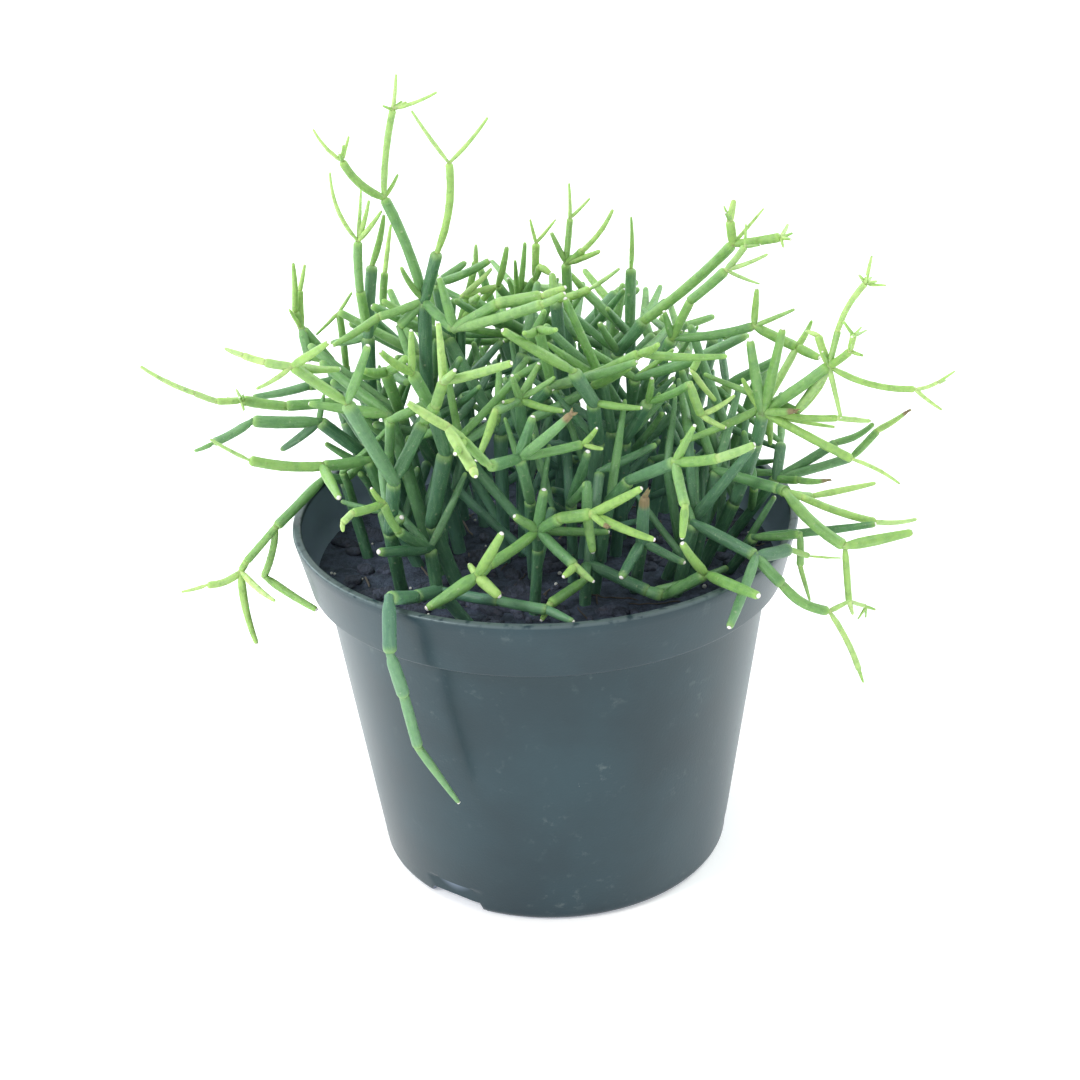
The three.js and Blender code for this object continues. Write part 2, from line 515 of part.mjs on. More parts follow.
// Feet for the grown shoots, on a spiral over the soil, each where no other foot is near.
const SPIRAL_TURN = 137.5;
const FOOT_SPACE = 6.5;
function fillFeet() {
  const feet = placed.filter((stretch) => stretch.foot).map((stretch) => stretch.from);
  const free = [];
  for (let i = 0; free.length < FILL_SHOOTS && i < 90; i += 1) {
    const reach = 5 * Math.sqrt(i + 0.5);
    const angle = rad(i * SPIRAL_TURN);
    const foot = new THREE.Vector3(reach * Math.cos(angle), reach * Math.sin(angle), SOIL_TOP - FOOT_DEPTH);
    const roomy = feet.every((other) => Math.hypot(foot.x - other.x, foot.y - other.y) > FOOT_SPACE);
    if (roomy && foot.y > -8 && reach < 44) {
      feet.push(foot);
      free.push(foot);
    }
  }
  return free;
}

for (const [name, [[x, y], first]] of Object.entries(SHOOTS)) {
  follow("shoot_" + name, new THREE.Vector3(x, y, SOIL_TOP - FOOT_DEPTH), first, 0, true);
}
fillFeet().forEach((foot, i) => {
  const lean = new THREE.Vector3(foot.x / 110, foot.y / 90, 1).normalize();
  grow("shoot_grown_" + (i + 1), foot, lean, 0);
});

const plant = new THREE.Group();
for (const shoot of new Set(placed.map((stretch) => stretch.shoot))) {
  const stems = stemsOf(placed.filter((stretch) => stretch.shoot === shoot));
  plant.add(piece(shoot, wasm.Manifold.union(stems), green));
}

const potted = new THREE.Group();
potted.add(makePot());
potted.add(makeSoil(placed.filter((stretch) => stretch.foot)));
potted.add(plant);

export default potted;
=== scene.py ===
"""A potted Rhipsalis erecta: a bushy cactus of thin, pencil-like stems in a round nursery pot."""

import json
import math

import bpy
import numpy as np
from mathutils import Matrix, Vector, noise

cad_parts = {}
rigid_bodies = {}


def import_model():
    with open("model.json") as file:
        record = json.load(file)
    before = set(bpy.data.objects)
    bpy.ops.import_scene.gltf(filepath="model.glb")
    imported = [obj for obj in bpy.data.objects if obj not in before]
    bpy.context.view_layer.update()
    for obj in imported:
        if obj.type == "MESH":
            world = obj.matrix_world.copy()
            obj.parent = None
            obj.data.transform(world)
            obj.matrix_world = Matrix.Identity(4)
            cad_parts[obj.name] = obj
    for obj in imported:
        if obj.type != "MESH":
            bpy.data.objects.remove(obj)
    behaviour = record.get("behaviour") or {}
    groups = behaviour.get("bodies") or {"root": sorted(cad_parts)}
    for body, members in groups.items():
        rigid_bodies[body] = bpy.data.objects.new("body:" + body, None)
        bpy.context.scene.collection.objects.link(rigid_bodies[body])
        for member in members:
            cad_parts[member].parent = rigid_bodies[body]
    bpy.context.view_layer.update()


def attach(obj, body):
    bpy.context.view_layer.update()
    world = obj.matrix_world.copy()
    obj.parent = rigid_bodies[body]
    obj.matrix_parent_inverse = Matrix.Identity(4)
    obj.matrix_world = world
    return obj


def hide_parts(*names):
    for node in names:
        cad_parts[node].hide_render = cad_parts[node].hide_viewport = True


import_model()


# The viewpoint
# The eye stands about 40 cm in front of the pot and a little over its top, so the pot tapers strongly
# and the soil shows over the near rim. It leans by two degrees. Millimetres, degrees and pixels.
MM = 0.001
EYE = np.array([0.0, -390.6, 267.7])
LOOKS_DOWN, PAN, ROLL = (math.radians(angle) for angle in (25.68, -0.21, 2.14))
PICTURE = 1080
CENTRE = PICTURE / 2
FOCAL = 1800
SENSOR = 36

ahead = np.array(
    [math.sin(PAN) * math.cos(LOOKS_DOWN), math.cos(PAN) * math.cos(LOOKS_DOWN), -math.sin(LOOKS_DOWN)]
)
right = np.array([math.cos(PAN), -math.sin(PAN), 0.0])
above = np.cross(right, ahead)
camera = bpy.data.objects.new("camera", bpy.data.cameras.new("camera"))
bpy.context.scene.collection.objects.link(camera)
camera.data.sensor_width = SENSOR
camera.data.lens = SENSOR * FOCAL / PICTURE
camera.data.clip_start = 0.01
across = right * math.cos(ROLL) - above * math.sin(ROLL)
upward = right * math.sin(ROLL) + above * math.cos(ROLL)
axes = Matrix([[across[i], upward[i], -ahead[i]] for i in range(3)])
camera.matrix_world = Matrix.Translation(Vector(EYE * MM)) @ axes.to_4x4()
bpy.context.scene.camera = camera


# The floor and the light
# A pale matt floor that runs past the view, an even white surround, and three large soft lamps: one
# high in front, and one on each side behind, which edge the pot and the stems with light.
class Value:
    """A node's output. Sums on it, with numbers or with other values, add the Math nodes."""

    def __init__(self, finish, socket):
        self.finish = finish
        self.socket = socket

    def worked(self, operation, *values):
        return self.finish.add("ShaderNodeMath", {"operation": operation}, dict(enumerate(values)))

    def __add__(self, other):
        return self.worked("ADD", self, other)

    __radd__ = __add__

    def __sub__(self, other):
        return self.worked("SUBTRACT", self, other)

    def __rsub__(self, other):
        return self.worked("SUBTRACT", other, self)

    def __mul__(self, other):
        return self.worked("MULTIPLY", self, other)

    __rmul__ = __mul__

    def root(self):
        return self.worked("SQRT", self)

    def over(self, low, high):
        """0 where the value is under low, 1 where it is over high, and smooth between."""
        settings = {"interpolation_type": "SMOOTHSTEP"}
        return self.finish.add("ShaderNodeMapRange", settings, {0: self, 1: low, 2: high})


class Finish:
    """A surface's material: one Principled shader and the nodes that feed it."""

    def __init__(self, name, **fixed):
        self.material = bpy.data.materials.new(name)
        self.material.use_nodes = True
        self.nodes = self.material.node_tree.nodes
        self.links = self.material.node_tree.links
        self.shader = self.nodes["Principled BSDF"]
        self.place = self.add("ShaderNodeTexCoord", output="Object")
        self.surface(**fixed)

    def feed(self, node, key, value):
        socket = node.inputs[key]
        if isinstance(value, Value):
            self.links.new(value.socket, socket)
        elif isinstance(value, str):
            socket.default_value = colour(value)
        else:
            socket.default_value = value

    def add(self, kind, settings=None, inputs=None, output=0):
        """A node of a kind, with its settings set first, then its inputs, as the value of an output."""
        node = self.nodes.new(kind)
        for key, setting in (settings or {}).items():
            if key == "stops":
                ramp = node.color_ramp.elements
                ramp[0].color, ramp[1].color = colour(setting[0][1]), colour(setting[-1][1])
                for place, shade in setting[1:-1]:
                    ramp.new(place).color = colour(shade)
            else:
                setattr(node, key, setting)
        for key, value in (inputs or {}).items():
            self.feed(node, key, value)
        return Value(self, node.outputs[output])

    def noise(self, size, detail=3, roughness=0.5, at=None):
        """Soft noise whose lumps are about size millimetres across, from 0 to 1."""
        inputs = {"Vector": at or self.place, "Scale": 1 / (size * MM)}
        return self.add("ShaderNodeTexNoise", None, {**inputs, "Detail": detail, "Roughness": roughness})

    def stretched(self, scale, at=None):
        """The place on the surface, or another value, scaled along each axis."""
        return self.add("ShaderNodeMapping", None, {"Vector": at or self.place, "Scale": scale})

    def mark(self, name):
        """What a mesh marks each of its points with, under a name."""
        return self.add("ShaderNodeAttribute", {"attribute_name": name}, output="Fac")

    def mix(self, share, first, second):
        """A colour between two, by a share from 0 to 1."""
        return self.add("ShaderNodeMix", {"data_type": "RGBA"}, {0: share, 6: first, 7: second}, 2)

    def surface(self, **fed):
        """Feeds the shader's own sockets, by name."""
        for name, value in fed.items():
            self.feed(self.shader, name.replace("_", " ").title().replace("Ior", "IOR"), value)

    def bump(self, height, depth):
        """Relief of a depth in millimetres."""
        inputs = {"Strength": 1.0, "Distance": depth * MM, "Height": height}
        self.surface(Normal=self.add("ShaderNodeBump", None, inputs))


def colour(shade):
    """A #rrggbb colour as the renderer's linear red, green, blue and alpha."""
    parts = [int(shade[i : i + 2], 16) / 255 for i in (1, 3, 5)]
    linear = [part / 12.92 if part <= 0.04045 else ((part + 0.055) / 1.055) ** 2.4 for part in parts]
    return (*linear, 1.0)


def shown(name, mesh, material):
    """A mesh as an object of the scene, in its material."""
    piece = bpy.data.objects.new(name, mesh)
    bpy.context.scene.collection.objects.link(piece)
    mesh.materials.append(material)
    return piece


FLOOR_REACH = 6.0
floor_mesh = bpy.data.meshes.new("floor")
floor_corners = [(x * FLOOR_REACH, y * FLOOR_REACH, 0) for x, y in ((-1, -1), (1, -1), (1, 1), (-1, 1))]
floor_mesh.from_pydata(floor_corners, [], [(0, 1, 2, 3)])
floor_finish = Finish("pale_floor", roughness=0.9, specular_ior_level=0.1, emission_strength=0.2)
floor_finish.surface(base_color=floor_finish.mix(floor_finish.noise(60), "#fafafa", "#fefefe"))
shown("floor", floor_mesh, floor_finish.material)

bpy.context.scene.view_settings.view_transform = "Standard"
world = bpy.data.worlds.new("white_surround")
bpy.context.scene.world = world
world.use_nodes = True
world.node_tree.nodes["Background"].inputs["Color"].default_value = (1.0, 1.0, 1.0, 1.0)
world.node_tree.nodes["Background"].inputs["Strength"].default_value = 1.0

LIT_POINT = Vector((0, 0, 0.09))
LAMPS = {
    "left_front": ((-0.75, -0.5, 0.8), 0.22, 6.0),
    "left_behind": ((-0.7, 0.6, 0.7), 0.6, 6.0),
    "right_behind": ((0.8, 0.5, 0.7), 0.6, 6.0),
}
for lamp_name, (lamp_place, lamp_side, lamp_power) in LAMPS.items():
    lamp = bpy.data.lights.new(lamp_name, "AREA")
    lamp.size = lamp_side
    lamp.energy = lamp_power
    lamp.color = (0.88, 1.0, 1.0) if "behind" in lamp_name else (1.0, 1.0, 1.0)
    holder = bpy.data.objects.new(lamp_name, lamp)
    bpy.context.scene.collection.objects.link(holder)
    holder.location = lamp_place
    holder.rotation_euler = (LIT_POINT - Vector(lamp_place)).to_track_quat("-Z", "Y").to_euler()


# The pot
# A nursery pot of thin moulded polypropylene, dark slate grey. A collar stiffens it under the rim, and
# three recesses in its foot let water out to a hole each. It stands on its flat underside.
RIM_RADIUS, POT_HEIGHT = 60, 88.5
COLLAR_FOOT, COLLAR_FOOT_RADIUS = 74.7, 57
WALL_TOP_RADIUS, WALL_FOOT_RADIUS = 53.4, 43.7
FOOT_CORNER = 2.2
WALL = 1.3
RECESS_ANGLES = (-125, -5, 115)
RECESS_WIDTH, RECESS_HEIGHT, RECESS_INNER = 15, 3, 27
FLUTE_HEIGHT, FLUTE_RADIUS = 6.5, 43.4
DRAIN_RADIUS, DRAIN_PLACE = 3.5, 33.5
POT_COLUMNS = 320

wall_slope = (WALL_TOP_RADIUS - WALL_FOOT_RADIUS) / (COLLAR_FOOT - FOOT_CORNER)
collar_slope = (RIM_RADIUS - COLLAR_FOOT_RADIUS) / (POT_HEIGHT - COLLAR_FOOT)


def wall_radius(z):
    return WALL_FOOT_RADIUS + wall_slope * np.maximum(z - FOOT_CORNER, 0)


def collar_inner(z):
    return COLLAR_FOOT_RADIUS + collar_slope * (z - COLLAR_FOOT) - WALL


def arc(middle, radius, start, end, steps):
    """Points of an arc in a profile, from one angle to another, in degrees."""
    turns = np.radians(np.linspace(start, end, steps))
    return [(middle[0] + radius * math.cos(turn), middle[1] + radius * math.sin(turn)) for turn in turns]


def span(start, end, steps):
    """Points between two of a profile's points, without the ends."""
    shares = [(i + 1) / (steps + 1) for i in range(steps)]
    return [(start[0] + (end[0] - start[0]) * s, start[1] + (end[1] - start[1]) * s) for s in shares]


def ring_faces(columns, rings, first, start, end):
    """The faces of a closed body: rings of points, from a first one on, between a start and an end point."""
    faces = []
    last = first + (rings - 1) * columns
    for k in range(columns):
        after = (k + 1) % columns
        faces.append((start, first + after, first + k))
        faces.append((end, last + k, last + after))
        for i in range(rings - 1):
            low, high = first + i * columns, first + (i + 1) * columns
            faces.append((low + k, low + after, high + after, high + k))
    return faces


def turned_body(profile, columns):
    """A closed body turned round the Z axis from a profile that starts and ends on it: its points, in mm,
    and its faces. The points come as rings, and the two ends as single points."""
    angles = np.linspace(0, math.tau, columns, endpoint=False)
    rings = [(r * np.cos(angles), r * np.sin(angles), np.full(columns, z)) for r, z in profile[1:-1]]
    points = np.concatenate([np.array(ring).T for ring in rings])
    points = np.vstack([points, [0, 0, profile[0][1]], [0, 0, profile[-1][1]]])
    return points, ring_faces(columns, len(rings), 0, len(points) - 2, len(points) - 1)


LIP = 0.55
before_recess, in_recess = RECESS_INNER - 2, RECESS_INNER + 2
outer_foot = (WALL_FOOT_RADIUS, FOOT_CORNER)
low_wall = (wall_radius(8), 8)
outer_wall_top = (WALL_TOP_RADIUS, COLLAR_FOOT - 0.4)
under_lip = (collar_inner(POT_HEIGHT) - 0.4, POT_HEIGHT - 1.2)
inner_collar_foot = (collar_inner(COLLAR_FOOT + 1), COLLAR_FOOT + 1)
inner_wall_top = (WALL_TOP_RADIUS - WALL, COLLAR_FOOT - 1.8)
inner_foot = (WALL_FOOT_RADIUS - WALL, WALL + 1)
floor_edge = (WALL_FOOT_RADIUS - WALL - 1, WALL)
pot_profile = [
    (0, 0),
    *span((0, 0), (before_recess, 0), 3),
    *span((before_recess, 0), (in_recess, 0), 7),
    *span((in_recess, 0), (WALL_FOOT_RADIUS - FOOT_CORNER, 0), 8),
    *arc((WALL_FOOT_RADIUS - FOOT_CORNER, FOOT_CORNER), FOOT_CORNER, -90, 0, 7),
    *span(outer_foot, low_wall, 9),
    *span(low_wall, outer_wall_top, 14),
    *arc((WALL_TOP_RADIUS + 0.5, COLLAR_FOOT - 0.6), 0.5, 180, 95, 4),
    *arc((COLLAR_FOOT_RADIUS - 0.5, COLLAR_FOOT + 0.4), 0.5, -90, 0, 4),
    *span((COLLAR_FOOT_RADIUS, COLLAR_FOOT + 0.5), (RIM_RADIUS, POT_HEIGHT - LIP), 5),
    *arc((RIM_RADIUS - LIP, POT_HEIGHT - LIP), LIP, 0, 90, 5),
    *arc((RIM_RADIUS - WALL - 0.2, POT_HEIGHT - LIP), LIP, 90, 180, 5),
    *span(under_lip, inner_collar_foot, 5),
    *span(inner_collar_foot, inner_wall_top, 2),
    *span(inner_wall_top, inner_foot, 8),
    inner_foot,
    floor_edge,
    *span(floor_edge, (in_recess, WALL), 7),
    *span((in_recess, WALL), (before_recess, WALL), 7),
    (10, WALL),
    (0, WALL),
]
pot_points, pot_faces = turned_body(pot_profile, POT_COLUMNS)


def raised(points, angle, spare=0):
    """Whether each point lies in a recess, as 0 or 1 with steep sides between, then its place out along
    the recess, and whether it lies between the recess's two sides, in or out of the pot."""
    turn = math.radians(angle)
    along = points[:, 0] * math.cos(turn) + points[:, 1] * math.sin(turn)
    aside = np.abs(points[:, 1] * math.cos(turn) - points[:, 0] * math.sin(turn))
    inner = np.clip((along - RECESS_INNER + spare) / 0.8 + 0.5, 0, 1)
    side = np.clip((RECESS_WIDTH / 2 + spare - aside) / 0.9 + 0.5, 0, 1)
    return inner * side, along, side * (along > 0)


for angle in RECESS_ANGLES:
    depth, along, side = raised(pot_points, angle)
    reach = np.hypot(pot_points[:, 0], pot_points[:, 1])
    height = pot_points[:, 2].copy()
    inside = reach < wall_radius(height) - WALL / 2
    on_floor = height < WALL + 0.01
    lifted = np.where(inside & ~on_floor, RECESS_HEIGHT + WALL, RECESS_HEIGHT)
    lifted = np.maximum(height, lifted * depth)
    pot_points[:, 2] = np.where(on_floor & inside, height + RECESS_HEIGHT * depth, lifted)
    fluted = ~inside & (height < FLUTE_HEIGHT) & (side > 0)
    back = np.where(fluted, np.maximum(along - FLUTE_RADIUS, 0) * side, 0)
    pot_points[:, 0] -= back * math.cos(math.radians(angle))
    pot_points[:, 1] -= back * math.sin(math.radians(angle))


def mesh_of(name, points, faces, sharp=40, marks=None):
    """A mesh from points in mm, smooth but for its sharp edges, with any marks as point attributes."""
    mesh = bpy.data.meshes.new(name)
    mesh.from_pydata((np.asarray(points) * MM).tolist(), [], faces)
    mesh.shade_smooth()
    mesh.set_sharp_from_angle(angle=math.radians(sharp))
    for mark, values in (marks or {}).items():
        layer = mesh.attributes.new(mark, "FLOAT", "POINT")
        layer.data.foreach_set("value", np.asarray(values, dtype=np.float32))
    return mesh


DRILL_SIDES = 40


def drilled(mesh, cutters):
    """The mesh with a hole for each cutter, (x, y, low, high, radius) in mm, cut right through."""
    sides = DRILL_SIDES
    block = bpy.data.objects.new("drilled", mesh)
    bpy.context.scene.collection.objects.link(block)
    tools = []
    for x, y, low, high, radius in cutters:
        turns = np.linspace(0, math.tau, sides, endpoint=False)
        ring = [(x + radius * math.cos(t), y + radius * math.sin(t)) for t in turns]
        points = [(a, b, low) for a, b in ring] + [(a, b, high) for a, b in ring]
        faces = [tuple(reversed(range(sides))), tuple(range(sides, 2 * sides))]
        faces += [(k, (k + 1) % sides, sides + (k + 1) % sides, sides + k) for k in range(sides)]
        tool = bpy.data.objects.new("tool", mesh_of("tool", points, faces))
        bpy.context.scene.collection.objects.link(tool)
        cut = block.modifiers.new("cut", "BOOLEAN")
        cut.object = tool
        tools.append(tool)
    made = bpy.data.meshes.new_from_object(block.evaluated_get(bpy.context.evaluated_depsgraph_get()))
    for thing in [block, *tools]:
        bpy.data.objects.remove(thing)
    made.shade_smooth()
    made.set_sharp_from_angle(angle=math.radians(40))
    return made


drains = []
for angle in RECESS_ANGLES:
    turn = math.radians(angle)
    x, y = DRAIN_PLACE * math.cos(turn), DRAIN_PLACE * math.sin(turn)
    drains.append((x, y, RECESS_HEIGHT - 1, RECESS_HEIGHT + WALL + 1, DRAIN_RADIUS))
pot_mesh = drilled(mesh_of("pot", pot_points, pot_faces), drains)

plastic = Finish(
    "slate_plastic", specular_ior_level=0.5, specular_tint="#d8f6f8", coat_weight=0.12, coat_roughness=0.22
)
cloud = plastic.noise(28, 4)
grain = plastic.noise(0.5, 2)
dust = plastic.noise(3.2, 6, 0.65).over(0.55, 0.78) * plastic.noise(14, 2).over(0.45, 0.7)
scratched = plastic.stretched((1.0, 1.0, 0.22))
scuffs = plastic.noise(1.6, 5, 0.7, at=scratched).over(0.7, 0.76) * cloud.over(0.5, 0.62)
body = plastic.mix(cloud.over(0.3, 0.7), "#15242e", "#1e323c")
body = plastic.mix(dust * 0.28, body, "#8b9692")
body = plastic.mix(scuffs * 0.6, body, "#b6bfbd")
# Painted light: inside, from under its lip down, the pot's wall is mixed toward a pale blue-grey, lighter
# than the shade that lies there.
axes_of_place = [plastic.add("ShaderNodeSeparateXYZ", None, {0: plastic.place}, axis) for axis in range(3)]
pot_x, pot_y, pot_z = (along * (1 / MM) for along in axes_of_place)
on_collar = pot_z.over(COLLAR_FOOT - 0.2, COLLAR_FOOT)
wall = wall_slope * (pot_z - FOOT_CORNER) + WALL_FOOT_RADIUS
further = (pot_z - COLLAR_FOOT) * (collar_slope - wall_slope) + (COLLAR_FOOT_RADIUS - WALL_TOP_RADIUS)
within = wall + on_collar * further - (pot_x * pot_x + pot_y * pot_y).root()
painted_light_inside = within.over(0.5, 1.0) * (1 - pot_z.over(POT_HEIGHT - 1.6, POT_HEIGHT - 0.8))
body = plastic.mix(painted_light_inside * 0.85, body, "#8390a6")
# Painted highlight: a patchy pale line along the top of the lip.
lip_highlight = pot_z.over(POT_HEIGHT - 0.7, POT_HEIGHT - 0.2) * plastic.noise(2.0, 4).over(0.3, 0.5)
body = plastic.mix(lip_highlight * 0.3, body, "#82908f")
plastic.surface(base_color=body, roughness=0.3 + 0.12 * cloud + 0.2 * dust)
plastic.bump(grain * 0.6 + cloud * 2.0, 0.05)
pot = shown("pot_body", pot_mesh, plastic.material)
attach(pot, "root")
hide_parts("pot")


# The shoots' places
# Each shoot is a chain of short cactus segments: a whorl of thinner ones sprouts from the end of each.
# Their joints are placed by the part's own rule, so every stem here lies on its solid in the frame.
SOIL_TOP = 75.5
LUMP = 1.7
FIT = 0.35
FOOT_DEPTH = 8
APART = 0.4
# What a joint that isn't clear tries in turn: other depths, in mm, and small steps in the picture.
DEPTHS = (0, 1.5, -1.5, 3, -3, 4.5, -4.5, 6, -6, 8, -8, 10, -10, 13, -13, 16, -16)
STEPS = ((0, 0), (6, 0), (-6, 0), (0, 6), (0, -6))


class Segment:
    """One segment of a shoot, between two joints, in mm, and the segment that it grew from."""

    def __init__(self, shoot, start, end, radius, parent=None, read_at=None):
        self.shoot, self.start, self.end, self.radius = shoot, start, end, radius
        self.parent, self.read_at = parent, read_at
        self.order = parent.order + 1 if parent else 0
        self.bears = []
        if parent:
            parent.bears.append(self)
        placed.append(self)


placed = []


def seen(column, row, depth):
    """The point at a pixel of the picture, at a depth along Y."""
    ray = ahead * FOCAL + across * (column - CENTRE) + upward * (CENTRE - row)
    return ray * ((depth - EYE[1]) / ray[1]) + EYE


def gaps(start, end, others):
    """The least distance from a straight stretch to each of some segments."""
    starts = np.array([other.start for other in others])
    run, runs = end - start, np.array([other.end for other in others]) - starts
    between = start - starts
    a, e, b = run @ run, (runs**2).sum(1), runs @ run
    c, f = between @ run, (runs * between).sum(1)
    cross = a * e - b * b
    i = np.where(cross > 1e-9, np.clip((b * f - c * e) / np.maximum(cross, 1e-9), 0, 1), 0)
    j = (b * i + f) / e
    beyond = (j < 0) | (j > 1)
    j = np.clip(j, 0, 1)
    i = np.where(beyond, np.clip((b * j - c) / a, 0, 1), i)
    return np.linalg.norm(between + run * i[:, None] - runs * j[:, None], axis=1)


def clear_of_pot(start, end, radius, foot):
    steps = math.ceil(np.linalg.norm(end - start) / 2)
    room = radius + APART
    points = start + (end - start) * (np.arange(steps + 1) / steps)[:, None]
    z, reach = points[:, 2], np.hypot(points[:, 0], points[:, 1])
    inside = np.where(z > COLLAR_FOOT + 1, collar_inner(z), wall_radius(z) - WALL)
    outside = np.where(z > COLLAR_FOOT - room - 1, RIM_RADIUS, wall_radius(z))
    over_rim = z - room > POT_HEIGHT
    in_pot = (reach + room < inside) & (foot | (z - room > SOIL_TOP + LUMP))
    beside_pot = (reach - room > outside) & (z - room > 0)
    return bool(np.all(over_rim | in_pot | beside_pot))


def clear(shoot, start, end, radius, foot=False):
    """Whether a stretch keeps clear of the pot, the soil and every other shoot."""
    if not clear_of_pot(start, end, radius, foot):
        return False
    others = [other for other in placed if other.shoot != shoot]
    if not others:
        return True
    room = radius + np.array([other.radius for other in others]) + APART
    return bool(np.all(gaps(start, end, others) > room))


def follow(shoot, start, branch, shift=0, parent=None):
    """Places a branch that was read in the picture, and the branches that grow from its end."""
    column, row, depth, diameter, *branches = branch
    for aside, down in STEPS:
        for nearer in DEPTHS:
            end = seen(column + aside, row + down, depth + shift + nearer)
            if clear(shoot, start, end, diameter / 2, parent is None):
                here = Segment(shoot, start, end, diameter / 2, parent, (column, row))
                for further in branches:
                    follow(shoot, end, further, shift + nearer, here)
                return


